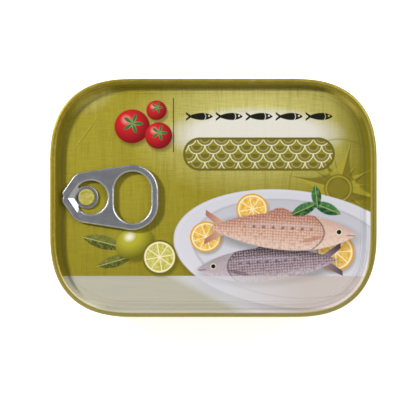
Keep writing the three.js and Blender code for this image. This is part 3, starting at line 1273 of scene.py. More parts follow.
@dataclass(frozen=True)
class Cloth:
    """The ground: olive cloth with slubbed threads, light at the left and round the middle band, with
    painted shade on its wall and far edge and painted light in its upper corners.
    """

    light: Spot = Spot(-34, 18, 44, 46)
    haze: Spot = Spot(13, 23, 40, 22.5)
    glow: Spot = Spot(13.5, 20.5, 30, 9.5)
    # A paler patch of print in the upper left corner, laid also as painted light that thins the seam's
    # shadow there.
    corner: Spot = Spot(-38.0, 32.4, 9.5, 4.4, 36)
    far_slope: tuple[float, float] = (0.9, 0.2)
    # Painted shade towards the panel's far right edge.
    far_edge_shade: tuple[float, float] = (40.0, 46.5)
    # Painted shade on the wall, deeper towards the right.
    far_wall_shade: tuple[float, float] = (-20.0, 36.0)
    wall_shade_cover: float = 0.85
    # Painted light on the wall in the upper corners, where the seam's shadow falls.
    left_bend_light: Spot = Spot(-39.5, 32.8, 9.5, 5.5, 42)
    left_bend_inset: tuple[float, float] = (4.7, 3.9)
    right_bend_light: Spot = Spot(42.6, 31.6, 8.5, 6.0, -42)
    right_bend_inset: tuple[float, float] = (3.4, 2.6)
    bend_core: float = 0.4
    bend_cover: float = 0.6
    upright_threads: tuple[float, float] = (3.4, 0.16)
    level_threads: tuple[float, float] = (0.16, 3.4)
    thread_run: tuple[float, float] = (0.46, 0.62)
    thread_cover: float = 0.3
    bars: tuple[float, float] = (0.5, 0.03)
    bar_run: tuple[float, float] = (0.5, 0.7)
    bar_cover: float = 0.22

    def bend_light(self, canvas: Canvas, spot: Spot, inset: tuple[float, float]) -> Signal:
        """A mask of painted light on the wall in a corner, which ends between two insets."""
        return canvas.soft(spot, self.bend_core) * canvas.inset.ramp(*inset, 0.0, self.bend_cover)

    def paint(self, canvas: Canvas) -> None:
        """Lays the cloth with its haze, a paler upper left corner that is partly painted light, painted
        shade along the far edge and on the wall, painted light on the wall in the upper corners, its threads
        and the glow.

        Args:
            canvas: The print.
        """
        far = canvas.x * self.far_slope[0] + canvas.y * self.far_slope[1]
        canvas.lay(canvas.soft(self.light, core=0.3, cover=0.7), Ink.OLIVE_LIGHT)
        canvas.lay(canvas.soft(self.haze, core=0.3, cover=0.75, rim=1.05), Ink.HAZE)
        # Paler upper left corner: partly print, partly painted light.
        canvas.lay(canvas.soft(self.corner, core=0.2, cover=0.75), Ink.OLIVE_PALE)
        # Painted shade along the far right edge of the panel.
        canvas.lay(far.ramp(*self.far_edge_shade, 0.0, 0.85), Ink.OLIVE_SHADE)
        # The wall in darker inks, deeper to the right: painted shade where the seam shades it.
        wall = canvas.blend(far.ramp(*self.far_wall_shade), Ink.OLIVE_WALL_SHADE, Ink.OLIVE_WALL_DEEP_SHADE)
        canvas.lay(canvas.wall * self.wall_shade_cover, wall)
        # Painted light on the wall in both upper corners.
        left = self.bend_light(canvas, self.left_bend_light, self.left_bend_inset)
        right = self.bend_light(canvas, self.right_bend_light, self.right_bend_inset)
        canvas.lay(left + right, Ink.OLIVE_BEND_LIGHT)
        threads = (canvas.streaks(self.upright_threads) + canvas.streaks(self.level_threads)) * 0.5
        canvas.lay(threads.ramp(*self.thread_run, 0.0, self.thread_cover), Ink.THREAD)
        canvas.lay(canvas.streaks(self.bars).ramp(*self.bar_run, 0.0, self.bar_cover), Ink.THREAD)
        canvas.lay(canvas.soft(self.glow, core=0.65, cover=0.85), Ink.GLOW)


@dataclass(frozen=True)
class RivetField:
    """The rivet's top with a painted mottled highlight, and a painted shadow of the pull on the field beside
    it.
    """

    # The rivet's top, paler and mottled: a painted highlight.
    top: Spot = Spot(RIVET_X / MM, RIVET_Y / MM, 2.8, 2.8)
    # Painted shadow of the pull's window rim on the field.
    pull_shadow: Spot = Spot(-37.2, 2.6, 4.6, 3.2, -35)

    def paint(self, canvas: Canvas) -> None:
        """Lays the painted shadow, then the top with its painted highlight.

        Args:
            canvas: The print.
        """
        # Painted shadow of the pull beside the rivet.
        canvas.lay(canvas.soft(self.pull_shadow, core=0.5, cover=0.6), Ink.OLIVE_SHADE)
        # Painted mottled highlight on the rivet's top.
        rivet_highlight = canvas.blend(canvas.cloud.ramp(0.4, 0.6), Ink.OLIVE_LIGHT, Ink.OLIVE_PALE)
        canvas.lay(canvas.oval(self.top), rivet_highlight)


@dataclass(frozen=True)
class TableTop:
    """The pale field along the lower edge."""

    top: float = TABLE_EDGE
    edge: float = TABLE_SOFT
    # Painted light on the wall in the lower left corner, where the seam's shadow falls.
    corner: Spot = Spot(-44.0, -29.6, 12.0, 8.0, -45)
    corner_light_inset: tuple[float, float] = (3.1, 2.7)
    streaks: tuple[float, float] = (0.05, 0.8)
    streak_run: tuple[float, float] = (0.45, 0.7)
    streak_cover: float = 0.25

    def paint(self, canvas: Canvas) -> None:
        """Lays the field, cooler to the right, paler on the wall in the left corner as painted light, and
        streaked along.

        Args:
            canvas: The print.
        """
        streak = canvas.streaks(self.streaks).ramp(*self.streak_run, 0.0, self.streak_cover)
        tone = canvas.blend(canvas.right_of_slant, Ink.TABLE, Ink.TABLE_COOL)
        # Painted light on the wall in the lower left corner.
        corner = canvas.soft(self.corner, core=0.5, cover=0.9) * canvas.inset.ramp(*self.corner_light_inset)
        tone = canvas.blend(corner, tone, Ink.PALE_LINE)
        tone = canvas.blend(streak, tone, Ink.PLATE_SHADE)
        canvas.lay((self.top - canvas.y).inside(self.edge), tone)


@dataclass(frozen=True)
class Veil:
    """The part of the pale field that lies over the dish, half clear."""

    top: float = TABLE_EDGE
    edge: float = TABLE_SOFT
    cover: float = 0.7
    warm_run: tuple[float, float] = (4.0, 30.0)
    # Painted shade on the lower part of the wall along the lower edge, darker to the right.
    wall_low: tuple[float, float] = (-8.0, -22.0)
    wall_along: tuple[float, float] = (-40.0, 30.0)
    wall_shade: tuple[float, float] = (0.05, 0.33)
    wall_inset: tuple[float, float] = (2.2, 2.5)

    def paint(self, canvas: Canvas) -> None:
        """Lays the veil, warmer to the right, and darkens the wall along the lower edge as painted shade.

        Args:
            canvas: The print.
        """
        tone = canvas.blend(canvas.x.ramp(*self.warm_run), Ink.TABLE_COOL, Ink.TABLE_WARM)
        across = (self.top - canvas.y).inside(self.edge) * canvas.right_of_slant
        canvas.lay(across * self.cover, tone)
        # Painted shade on the wall along the lower edge.
        shade = canvas.y.ramp(*self.wall_low) * canvas.x.ramp(*self.wall_along, *self.wall_shade)
        canvas.lay(canvas.wall * shade * canvas.inset.ramp(*self.wall_inset), Ink.NIGHT)


@dataclass(frozen=True)
class Dish:
    """A large oval dish with a raised rim, cut off by the panel's edge."""

    spot: Spot = Spot(25, -16.5, 38, 19, -6)
    rim: float = 0.83
    lip: float = 0.97
    edge: float = 0.006
    line_edge: float = 0.01

    def paint(self, canvas: Canvas) -> None:
        """Lays the dish's shadow, its body, the shade in its well, its rim line and its lip.

        Args:
            canvas: The print.
        """
        shadow = canvas.soft(self.spot.moved(0.6, -1.4), core=0.94, cover=0.55, rim=1.06)
        canvas.dim(shadow, Ink.SHADOW)
        radius = canvas.radius(self.spot)
        along, across = canvas.local(self.spot)
        body = canvas.blend((across - along * 0.3).ramp(-1.0, 0.8), Ink.PLATE_LIGHT, Ink.PLATE)
        canvas.lay((1 - radius).inside(self.edge), body)
        well = (self.rim - radius).inside(self.line_edge)
        canvas.lay(well * across.ramp(-0.7, 0.8, 0.0, 0.5), Ink.PLATE_SHADE)
        canvas.lay(radius.near(self.rim, 0.012, self.line_edge) * 0.6, Ink.PLATE_SHADE)
        canvas.lay(radius.near(self.lip, 0.01, self.line_edge) * 0.5, Ink.PLATE_LIGHT)


@dataclass(frozen=True)
class FishShape:
    """A fish seen from the side, in its half length, with the tail at -1 and the nose at 1.

    Half the body's depth is one less the square of the way along, to a power, times a depth that
    changes evenly along it. The tail opens from its root to its end, and so does the notch in it.
    """

    depth: float
    taper: float
    power: float
    tail_root: float
    tail_end: float
    tail_stem: float
    tail_spread: float
    notch_start: float
    notch_spread: float

    def half(self, along: Signal) -> Signal:
        """Half the body's depth at a place along it."""
        return (1 - along * along).most(0.0) ** self.power * (self.depth + along * self.taper)

    def opened(self, along: Signal) -> Signal:
        """How far the tail has opened, from 0 at its root to 1 at its end."""
        return along.ramp(self.tail_root, self.tail_end)

    def tail(self, along: Signal, across: Signal) -> Signal:
        """A value above zero inside the forked tail.

        Args:
            along: The way along the fish.
            across: The way up from its mid-line.

        Returns:
            The value.
        """
        opened = self.opened(along)
        sides = opened * self.tail_spread + self.tail_stem - abs(across)
        notch = abs(across) - opened * self.notch_spread + self.notch_start
        return sides.least(notch).least(self.tail_root - along).least(along - self.tail_end)


@dataclass(frozen=True)
class Sardine:
    """A whole fish: spindle body, fins, forked tail, scales, gill line, eye and a row of dots.

    The places of its marks are in its half length, as those of its shape are.
    """

    x: float
    y: float
    half_length: float
    turn: float
    facing: Facing
    back: Ink
    flank: Ink
    belly: Ink
    depth: float
    scales: float = 84.0
    edge: float = 0.13
    shadow_shift: tuple[float, float] = (0.6, -1.1)
    shadow_size: tuple[float, float] = (0.97, 1.05)
    back_fin: float = -0.05
    back_fin_run: tuple[float, float] = (0.2, 0.04)
    back_fin_height: float = 0.065
    side_fin: Spot = Spot(0.4, -0.09, 0.14, 0.028)
    side_fin_slope: float = 0.3
    dot_half_pitch: float = 0.065
    dot_row: float = 0.045
    dot_size: float = 0.0005
    gill: float = 0.56
    gill_curve: float = 3.0
    mouth: tuple[float, float] = (0.86, -0.012)
    eye: tuple[float, float] = (0.76, 0.028)
    eye_white: float = 0.0017
    eye_dark: float = 0.0010

    def shape(self) -> FishShape:
        """The fish's outline."""
        return FishShape(
            depth=self.depth,
            taper=0.04,
            power=0.85,
            tail_root=-0.72,
            tail_end=-1.05,
            tail_stem=0.045,
            tail_spread=0.19,
            notch_start=0.1,
            notch_spread=0.26,
        )

    def skin(self, canvas: Canvas, along: Signal, across: Signal, level: Signal) -> Signal:
        """The colour of the skin with its scales.

        The net of scales is the sine of the rising slant times the sine of the falling one.

        Args:
            canvas: The print.
            along: The way along the fish.
            across: The way up from its mid-line.
            level: The same way up, from -1 on the belly to 1 on the back.

        Returns:
            The colour.
        """
        colour = canvas.blend(level.ramp(-0.95, -0.2), self.belly, self.flank)
        colour = canvas.blend(level.ramp(0.0, 0.75), colour, self.back)
        colour = canvas.blend(canvas.cloud.ramp(0.45, 0.68, 0.0, 0.5), colour, self.back)
        rising = (along + across) * self.scales + canvas.cloud * 7
        falling = (along - across) * self.scales + canvas.grain * 4
        net = rising.sine() * falling.sine()
        scaled = (0.55 - along).inside(0.03) * level.ramp(-0.9, -0.2)
        colour = canvas.blend(scaled * net.ramp(0.1, 0.8, 0.0, 0.6), colour, self.back)
        colour = canvas.blend(scaled * net.ramp(-0.1, -0.8, 0.0, 0.5), colour, self.belly)
        colour = canvas.blend(canvas.grain.ramp(0.46, 0.34, 0.0, 0.4), colour, self.belly)
        return canvas.blend(abs(level).ramp(0.72, 1.0, 0.0, 0.4), colour, self.back)

    def marked(self, canvas: Canvas, along: Signal, across: Signal, colour: Signal) -> Signal:
        """The skin with its side fin, dots, gill, mouth and eye.

        Args:
            canvas: The print.
            along: The way along the fish.
            across: The way up from its mid-line.
            colour: The skin.

        Returns:
            The colour.
        """
        fin_along = along - self.side_fin.x
        fin_across = across - self.side_fin.y - fin_along * self.side_fin_slope
        from_fin = squares(fin_along / self.side_fin.half_width, fin_across / self.side_fin.half_height)
        colour = canvas.blend((1 - from_fin).inside(0.3) * 0.55, colour, self.back)
        dot_along = along.wrapped(-self.dot_half_pitch, self.dot_half_pitch)
        from_dot = squares(dot_along, across - self.dot_row)
        dots = (self.dot_size - from_dot).inside(0.00022) * along.near(-0.06, 0.46, 0.02)
        colour = canvas.blend(dots * 0.7, colour, Ink.SLATE_DEEP)
        past_gill = along - self.gill + across * across * self.gill_curve
        colour = canvas.blend(past_gill.inside(0.02) * 0.45, colour, self.belly)
        colour = canvas.blend(past_gill.near(0.0, 0.011, 0.008) * 0.75, colour, Ink.SLATE_DEEP)
        mouth = across.near(self.mouth[1], 0.007, 0.005) * (along - self.mouth[0]).inside(0.02)
        colour = canvas.blend(mouth * 0.7, colour, Ink.SLATE_DEEP)
        from_eye = squares(along - self.eye[0], across - self.eye[1])
        for size, ink in ((self.eye_white, Ink.PALE_LINE), (self.eye_dark, Ink.NIGHT)):
            colour = canvas.blend((size - from_eye).inside(0.0003), colour, ink)
        return colour

    def paint(self, canvas: Canvas) -> None:
        """Lays the fish's shadow, its tail and its body.

        Args:
            canvas: The print.
        """
        length = self.half_length
        middle = Spot(self.x, self.y, length, length, self.turn)
        wide, deep = self.shadow_size
        shade = replace(middle, half_width=length * wide, half_height=length * self.depth * deep)
        shade = shade.moved(*self.shadow_shift)
        canvas.dim(canvas.soft(shade, core=0.85, cover=0.55, rim=1.12), Ink.SHADOW)
        along, across = canvas.local(replace(middle, half_width=length * self.facing.value))
        shape = self.shape()
        half = shape.half(along)
        fin = abs(along - self.back_fin).ramp(*self.back_fin_run, 0.0, self.back_fin_height)
        body = half + fin * across.inside(0.01) - 0.008 - abs(across)
        level = across / (half + 0.03)
        colour = self.marked(canvas, along, across, self.skin(canvas, along, across, level))
        gleam = level.near(0.3, 0.03, 0.12) * along.near(0.02, 0.5, 0.2) * 0.4
        colour = canvas.blend(gleam, colour, Ink.PLATE_LIGHT)
        edge = self.edge / length
        tail_colour = canvas.blend(shape.opened(along).ramp(0.2, 1.0), self.flank, self.back)
        canvas.lay(shape.tail(along, across).inside(edge), tail_colour)
        canvas.lay(body.inside(edge), colour)


@dataclass(frozen=True)
class CitrusSlice:
    """A round slice: rind, pith and eight segments."""

    spot: Spot
    rind: Ink
    flesh: Ink
    flesh_light: Ink
    segments: int = 8
    pith_from: float = 0.8
    rind_from: float = 0.89
    ring_edge: float = 0.03

    def paint(self, canvas: Canvas) -> None:
        """Lays the slice's shadow, then the slice.

        Args:
            canvas: The print.
        """
        shadow = canvas.soft(self.spot.moved(0.5, -0.8), core=0.9, cover=0.5, rim=1.1)
        canvas.dim(shadow, Ink.SHADOW)
        along, across = canvas.local(self.spot)
        radius = canvas.radius(self.spot)
        ray = abs((canvas.turn_about(along, across) * (self.segments / 2)).sine()) * radius
        colour = canvas.blend(canvas.cloud.ramp(0.35, 0.65), self.flesh, self.flesh_light)
        colour = canvas.blend((0.1 - ray).inside(0.06), colour, Ink.PITH)
        colour = canvas.blend((radius - self.pith_from).inside(self.ring_edge), colour, Ink.PITH)
        colour = canvas.blend((radius - self.rind_from).inside(self.ring_edge), colour, self.rind)
        canvas.lay((1 - radius).inside(canvas.EDGE / self.spot.half_height), colour)


@dataclass(frozen=True)
class RoundFruit:
    """A whole fruit: a shaded oval with a highlight."""

    spot: Spot
    tone: Ink
    deep: Ink
    light: Ink
    lit_side: tuple[float, float] = (-0.28, 0.32)
    gleam_side: tuple[float, float] = (-0.34, 0.38)
    gleam_size: float = 0.36

    def paint(self, canvas: Canvas) -> None:
        """Lays the fruit's shadow, its body, its shade and its highlight.

        Args:
            canvas: The print.
        """
        size = self.spot.half_height
        shadow = canvas.soft(self.spot.moved(0.6, -1.0), core=0.88, cover=0.55, rim=1.12)
        canvas.dim(shadow, Ink.SHADOW)
        lit = canvas.radius(self.spot.moved(size * self.lit_side[0], size * self.lit_side[1]))
        canvas.lay(canvas.oval(self.spot), canvas.blend(lit.ramp(0.45, 1.25), self.tone, self.deep))
        gleam = self.spot.moved(size * self.gleam_side[0], size * self.gleam_side[1])
        canvas.lay(canvas.soft(gleam.grown(self.gleam_size), core=0.25, cover=0.85), self.light)


@dataclass(frozen=True)
class Calyx:
    """The five green points on top of a tomato."""

    spot: Spot
    points: int = 5
    mean: float = 0.58
    swing: float = 0.36

    def paint(self, canvas: Canvas) -> None:
        """Lays a star whose radius swings with the cosine of the angle times its points.

        Args:
            canvas: The print.
        """
        turn = canvas.turn_about(*canvas.local(self.spot))
        wave = (turn * self.points + math.pi / 2).sine()
        star = (wave * self.swing + self.mean - canvas.radius(self.spot)).inside(0.08)
        canvas.lay(star, canvas.blend(wave.ramp(-0.6, 0.8), Ink.LEAF_LIGHT, Ink.LEAF))


@dataclass(frozen=True)
class Leaf:
    """A pointed leaf with a pale rib and a darker half."""

    spot: Spot
    tone: Ink
    deep: Ink
    light: Ink
    rib: float = 0.05

    def paint(self, canvas: Canvas) -> None:
        """Lays the leaf: as wide as one less the square of the way along.

        Args:
            canvas: The print.
        """
        along, across = canvas.local(self.spot)
        colour = canvas.blend(across.inside(0.3), self.deep, self.tone)
        colour = canvas.blend(canvas.cloud.ramp(0.45, 0.7, 0.0, 0.6), colour, self.light)
        colour = canvas.blend(across.near(0.0, self.rib, 0.06) * 0.7, colour, Ink.LIME_LIGHT)
        canvas.lay((1 - along * along - abs(across)).inside(0.08), colour)


@dataclass(frozen=True)
class Shoal:
    """A row of small dark fish swimming along the top."""

    left: float = -9.3
    pitch: float = 9.7
    count: int = 5
    y: float = 26.4
    half_length: float = 4.1
    forward: float = 0.3
    shape: FishShape = FishShape(
        depth=0.3,
        taper=0.06,
        power=0.8,
        tail_root=-0.7,
        tail_end=-1.15,
        tail_stem=0.05,
        tail_spread=0.3,
        notch_start=0.16,
        notch_spread=0.34,
    )
    eye: tuple[float, float] = (0.68, 0.05)
    eye_size: float = 0.006
    eye_sharpness: float = 12.0
    gill: float = 0.42
    gill_curve: float = 1.4
    gill_half: float = 0.03

    def paint(self, canvas: Canvas) -> None:
        """Lays the row: one fish, with its eye and gill left bare, that repeats every pitch.

        Args:
            canvas: The print.
        """
        step = (canvas.x - self.left).wrapped(0.0, self.pitch) - self.pitch / 2
        along = (step - self.forward) / self.half_length
        across = (canvas.y - self.y) / self.half_length
        body = self.shape.half(along) - 0.02 - abs(across)
        eye = squares(along - self.eye[0], across - self.eye[1]) - self.eye_size
        gill = abs(along - self.gill + across * across * self.gill_curve) - self.gill_half
        bare = body.least(eye * self.eye_sharpness).least(gill)
        fish = bare.most(self.shape.tail(along, across)).inside(0.025)
        row = canvas.x.between(self.left, self.left + self.pitch * self.count, LINE_SOFT)
        canvas.lay(fish * row, Ink.NIGHT)


@dataclass(frozen=True)
class ScaleBand:
    """A dark band with round ends, filled with rows of fish scales."""

    spot: Spot = Spot(14.8, 14.2, 24.6, 5.4)
    scale: float = 2.7
    rim: float = 0.97
    inner_line: float = 0.6
    border: float = 0.75

    def paint(self, canvas: Canvas) -> None:
        """Lays the band. A scale is the lower half of a circle, and each next row is half a scale on.

        Args:
            canvas: The print.
        """
        core = self.spot.half_width - self.spot.half_height
        outside = (abs(canvas.x - self.spot.x) - core).most(0.0)
        up = canvas.y - self.spot.y
        reach = canvas.sheet.math("SQRT", squares(outside, up))
        shift = (up / self.scale).whole().wrapped(0.0, 2.0) * self.scale
        along = (canvas.x + shift).wrapped(-self.scale, self.scale)
        down = up.wrapped(0.0, self.scale) - self.scale
        radius = canvas.sheet.math("SQRT", squares(along, down)) / self.scale
        tone = canvas.blend(radius.ramp(0.2, 1.0), Ink.OLIVE_DARK, Ink.OLIVE_DEEP)
        tone = canvas.blend(radius.near(self.rim, 0.05, 0.035), tone, Ink.PALE_LINE)
        tone = canvas.blend(radius.near(self.inner_line, 0.03, 0.04) * 0.45, tone, Ink.PALE_LINE)
        border = (reach - self.spot.half_height + self.border).inside(LINE_SOFT)
        tone = canvas.blend(border, tone, Ink.OLIVE_DARK)
        canvas.lay((self.spot.half_height - reach).inside(canvas.EDGE), tone)


@dataclass(frozen=True)
class CompassRose:
    """A large sixteen-pointed compass rose, tone on tone, behind the rest of the print."""

    spot: Spot = Spot(40.6, 3.0, 20.0, 20.0, -15)
    stars: tuple[tuple[float, float], ...] = ((22.5, 0.62), (67.5, 0.62), (45.0, 0.78), (0.0, 1.0))
    sharpness: float = 0.44
    star_cover: float = 0.75
    rim: float = 0.8
    hub: float = 0.2
    hub_margin: float = 0.035
    line_half: float = 0.012
    line_edge: float = 0.008

    def paint(self, canvas: Canvas) -> None:
        """Lays the thin rim, the rays from short to long, each darker on one half, and the hub.

        A star of four rays, turned and sized as the list says, is where both coordinates, each to
        a power below one, sum to less than one.

        Args:
            canvas: The print.
        """
        radius = canvas.radius(self.spot)
        canvas.lay(radius.near(self.rim, self.line_half, self.line_edge) * 0.4, Ink.OLIVE_DARK)
        for turn, reach in self.stars:
            along, across = canvas.local(replace(self.spot, turn=self.spot.turn + turn).grown(reach))
            star = (1 - abs(along) ** self.sharpness - abs(across) ** self.sharpness).inside(0.02)
            half = (along * across * (abs(along) - abs(across))).inside(0.0004)
            canvas.lay(star * self.star_cover, canvas.blend(half, Ink.OLIVE_DARK, Ink.OLIVE_LIGHT))
        canvas.lay((self.hub + self.hub_margin - radius).inside(self.line_edge) * 0.8, Ink.OLIVE_DARK)
        canvas.lay(radius.near(self.hub, self.line_half, self.line_edge) * 0.8, Ink.OLIVE_LIGHT)
        canvas.lay((self.hub - 0.04 - radius).inside(0.02) * 0.35, Ink.OLIVE)


@dataclass(frozen=True)
class Rule:
    """A thin upright line."""

    x: float = -12.9
    low: float = 14.8
    high: float = 32.3
    half_width: float = 0.2
    cover: float = 0.85

    def paint(self, canvas: Canvas) -> None:
        """Lays the line."""
        across = canvas.x.near(self.x, self.half_width, LINE_SOFT)
        canvas.lay(across * canvas.y.between(self.low, self.high, LINE_SOFT) * self.cover, Ink.RULE)


# Finishes


@dataclass(frozen=True)
class LidPrint:
    """Varnished print on the panel and its wall, and plain lacquer on the seam with painted light and shade
    on it.
    """

    print_inset: float = 2.0
    print_inset_front: float = 1.45
    print_inset_run: tuple[float, float] = (-36.0, -18.0)
    print_edge: float = 0.16
    crown_height: float = 21.6
    crown_edge: float = 0.25
    lacquer: Colour = srgb(172, 153, 50)
    lacquer_worn: Colour = srgb(192, 176, 88)
    # Painted light on the seam in front, painted shade on the right.
    lacquer_front_light: Colour = srgb(196, 185, 122)
    lacquer_right_shade: Colour = srgb(160, 150, 64)
    wear_share: float = 0.7
    right_run: tuple[float, float] = (28.0, 48.0)
    right_share: float = 0.7
    front_run: tuple[float, float] = (-16.0, -33.0)
    front_share: float = 0.6
    # Painted shade on the seam's inner side at the back.
    back_run: tuple[float, float] = (33.0, 37.0)
    back_inset: tuple[float, float] = (0.7, 1.4)
    back_shade_share: float = 0.45
    seam_metal: float = 0.62
    seam_gloss: float = 0.06
    peel_height: float = 0.005 * MM
    tomatoes: tuple[Spot, ...] = (
        Spot(-26.3, 23.2, 5.7, 5.5),
        Spot(-17.7, 20.2, 4.4, 4.3),
        Spot(-18.4, 28.4, 3.3, 3.2),
    )
    sage: tuple[Spot, ...] = (Spot(-35.6, -14.4, 7.2, 2.2, -14), Spot(-32.0, -20.6, 6.0, 1.9, 16))
    basil: tuple[Spot, ...] = (
        Spot(29.6, -3.6, 5.0, 1.9, 24),
        Spot(36.8, -3.4, 5.0, 1.9, -22),
        Spot(33.4, 0.6, 3.8, 1.6, 96),
    )
    lemons: tuple[Spot, ...] = (
        Spot(12.6, -3.6, 5.2, 5.0, 12),
        Spot(39.6, -17.6, 6.2, 6.2, 5),
        Spot(-2.4, -12.6, 5.2, 5.0, 20),
    )
    lime: Spot = Spot(-17.4, -19.2, 5.6, 5.6, 10)
    green_fruit: Spot = Spot(-25.4, -14.6, 6.4, 5.1, 24)
    calyx_shift: tuple[float, float] = (0.2, 0.9)
    calyx_size: float = 0.62

    def fish(self) -> list[Motif]:
        """The two fish on the dish, the lower one first.

        Returns:
            Both fish.
        """
        slate = (Ink.SLATE_DEEP, Ink.SLATE, Ink.SLATE_PALE)
        salmon = (Ink.SALMON_DEEP, Ink.SALMON, Ink.SALMON_PALE)
        return [
            Sardine(17.5, -21.6, 23.0, 4, Facing.LEFT, *slate, depth=0.245),
            Sardine(22.5, -10.8, 24.0, -3, Facing.RIGHT, *salmon, depth=0.26),
        ]

    def motifs(self) -> list[Motif]:
        """The print's parts from the ground up.

        Returns:
            The parts, each to be laid over those before it.
        """
        ground = [Cloth(), RivetField(), CompassRose(), Shoal(), ScaleBand(), Rule(), TableTop()]
        lemons = [CitrusSlice(spot, Ink.GOLD, Ink.GOLD, Ink.GOLD_LIGHT) for spot in self.lemons]
        sprig = [Leaf(spot, Ink.LEAF, Ink.LEAF_DEEP, Ink.LEAF_LIGHT) for spot in self.basil]
        meal = [Dish(), *lemons, *self.fish(), *sprig, Veil()]
        herbs = [Leaf(spot, Ink.SAGE, Ink.SAGE_DEEP, Ink.SAGE_LIGHT) for spot in self.sage]
        fruit = RoundFruit(self.green_fruit, Ink.LIME, Ink.LIME_DEEP, Ink.GLEAM)
        lime = CitrusSlice(self.lime, Ink.LIME_DEEP, Ink.LIME, Ink.LIME_LIGHT)
        red = [RoundFruit(spot, Ink.RED, Ink.RED_DEEP, Ink.RED_LIGHT) for spot in self.tomatoes]
        tops = [Calyx(spot.moved(*self.calyx_shift).grown(self.calyx_size)) for spot in self.tomatoes]
        return [*ground, *meal, *herbs, fruit, lime, *red, *tops]

    def seam(self, canvas: Canvas, place: Signal) -> Signal:
        """The seam's colour: worn on its crown, paler in front as painted light, and duller on the right and
        darker on its inner side at the back as painted shade.

        Args:
            canvas: The print.
            place: The place on the lid in millimetres, with its height.

        Returns:
            The colour.
        """
        sheet = canvas.sheet
        on_crown = (sheet.split(place)[2] - self.crown_height).inside(self.crown_edge)
        worn = sheet.noise(place, scale=0.7, detail=4.0).ramp(0.45, 0.75) * on_crown * self.wear_share
        colour = sheet.mix(worn, self.lacquer, self.lacquer_worn)
        # Painted shade on the seam towards the right.
        right_shade = canvas.x.ramp(*self.right_run, 0.0, self.right_share)
        colour = sheet.mix(right_shade, colour, self.lacquer_right_shade)
        # Painted light on the seam in front.
        front_light = canvas.y.ramp(*self.front_run, 0.0, self.front_share)
        colour = sheet.mix(front_light, colour, self.lacquer_front_light)
        # Painted shade on the seam's inner side at the back.
        inner_shade = canvas.inset.ramp(*self.back_inset, 0.0, self.back_shade_share)
        return sheet.mix(canvas.y.ramp(*self.back_run) * inner_shade, colour, Ink.OLIVE_DARK.value)

    def build(self) -> bpy.types.Material:
        """Puts the lid's material together: the print inside, and the lacquer on the seam.

        Returns:
            The material.
        """
        finish = Finish("lid_print")
        sheet = finish.sheet
        place = sheet.object_place()
        inset = sheet.attribute(INSET_LAYER)
        canvas = Canvas(sheet, sheet.stretched(place, (1.0, 1.0, 0.0)), inset, Ink.OLIVE)
        for motif in self.motifs():
            motif.paint(canvas)
        print_edge = canvas.y.ramp(*self.print_inset_run, self.print_inset_front, self.print_inset)
        on_seam = (print_edge - inset).inside(self.print_edge)
        peel = sheet.noise(place, scale=1.3, detail=2.0)
        smudge = sheet.noise(place, scale=0.12, detail=3.0)
        return finish.close(
            Base_Color=sheet.mix(on_seam, canvas.colour, self.seam(canvas, place)),
            Metallic=on_seam * self.seam_metal,
            Roughness=smudge.ramp(0.3, 0.7, 0.36, 0.46) - on_seam * self.seam_gloss,
            Normal=sheet.bump(peel, distance=self.peel_height, strength=0.3),
            Specular_IOR_Level=0.25,
        )


@dataclass(frozen=True)
class BodyLacquer:
    """Olive-gold lacquer on drawn sheet: upright draw streaks, faint rings and a rubbed base edge."""

    deep: Colour = srgb(148, 133, 46)
    light: Colour = srgb(168, 152, 62)
    bare: Colour = srgb(190, 188, 178)
    rub_height: float = 1.8
    streak_scale: tuple[float, float, float] = (0.8, 0.8, 0.03)
    ring_scale: tuple[float, float, float] = (0.01, 0.01, 2.4)
    relief: float = 0.006 * MM

    def build(self) -> bpy.types.Material:
        """Puts the body's material together.

        Returns:
            The material.
        """
        finish = Finish("body_lacquer")
        sheet = finish.sheet
        place = sheet.object_place()
        height = sheet.split(place)[2]
        streaks = sheet.noise(sheet.stretched(place, self.streak_scale), scale=1.0, detail=3.0)
        clouds = sheet.noise(place, scale=0.06)
        rings = sheet.noise(sheet.stretched(place, self.ring_scale), scale=1.0)
        colour = sheet.mix((streaks * 0.25 + clouds * 0.75).ramp(0.3, 0.7), self.deep, self.light)
        patches = sheet.noise(place, scale=0.8, detail=4.0).ramp(0.48, 0.62)
        rub = patches * height.ramp(self.rub_height, 0.0)
        return finish.close(
            Base_Color=sheet.mix(rub, colour, self.bare),
            Metallic=rub.ramp(0.0, 1.0, 0.35, 0.9),
            Roughness=clouds.ramp(0.3, 0.7, 0.28, 0.42) + rub * 0.1,
            Normal=sheet.bump(streaks * 0.4 + rings * 0.6, distance=self.relief, strength=0.25),
        )


@dataclass(frozen=True)
class PullMetal:
    """Bare bright sheet: fine rolling lines along the pull, soft clouding and small scuffs."""

    bright: Colour = (0.83, 0.85, 0.88, 1.0)
    dull: Colour = (0.71, 0.73, 0.76, 1.0)
    line_scale: tuple[float, float, float] = (0.3, 9.0, 9.0)
    relief: float = 0.0012 * MM

    def build(self) -> bpy.types.Material:
        """Puts the pull's material together.

        Returns:
            The material.
        """
        finish = Finish("pull_metal")
        sheet = finish.sheet
        place = sheet.object_place()
        lines = sheet.noise(sheet.stretched(place, self.line_scale), scale=1.0, detail=3.0)
        clouds = sheet.noise(place, scale=0.35, detail=3.0)
        scuffs = sheet.noise(place, scale=2.2, detail=5.0).ramp(0.56, 0.66)
        return finish.close(
            Base_Color=sheet.mix(clouds.ramp(0.35, 0.65), self.dull, self.bright),
            Metallic=1.0,
            Roughness=lines.ramp(0.3, 0.7, 0.31, 0.36) + scuffs * 0.05,
            Normal=sheet.bump(lines + scuffs * 0.4, distance=self.relief, strength=0.2),
        )


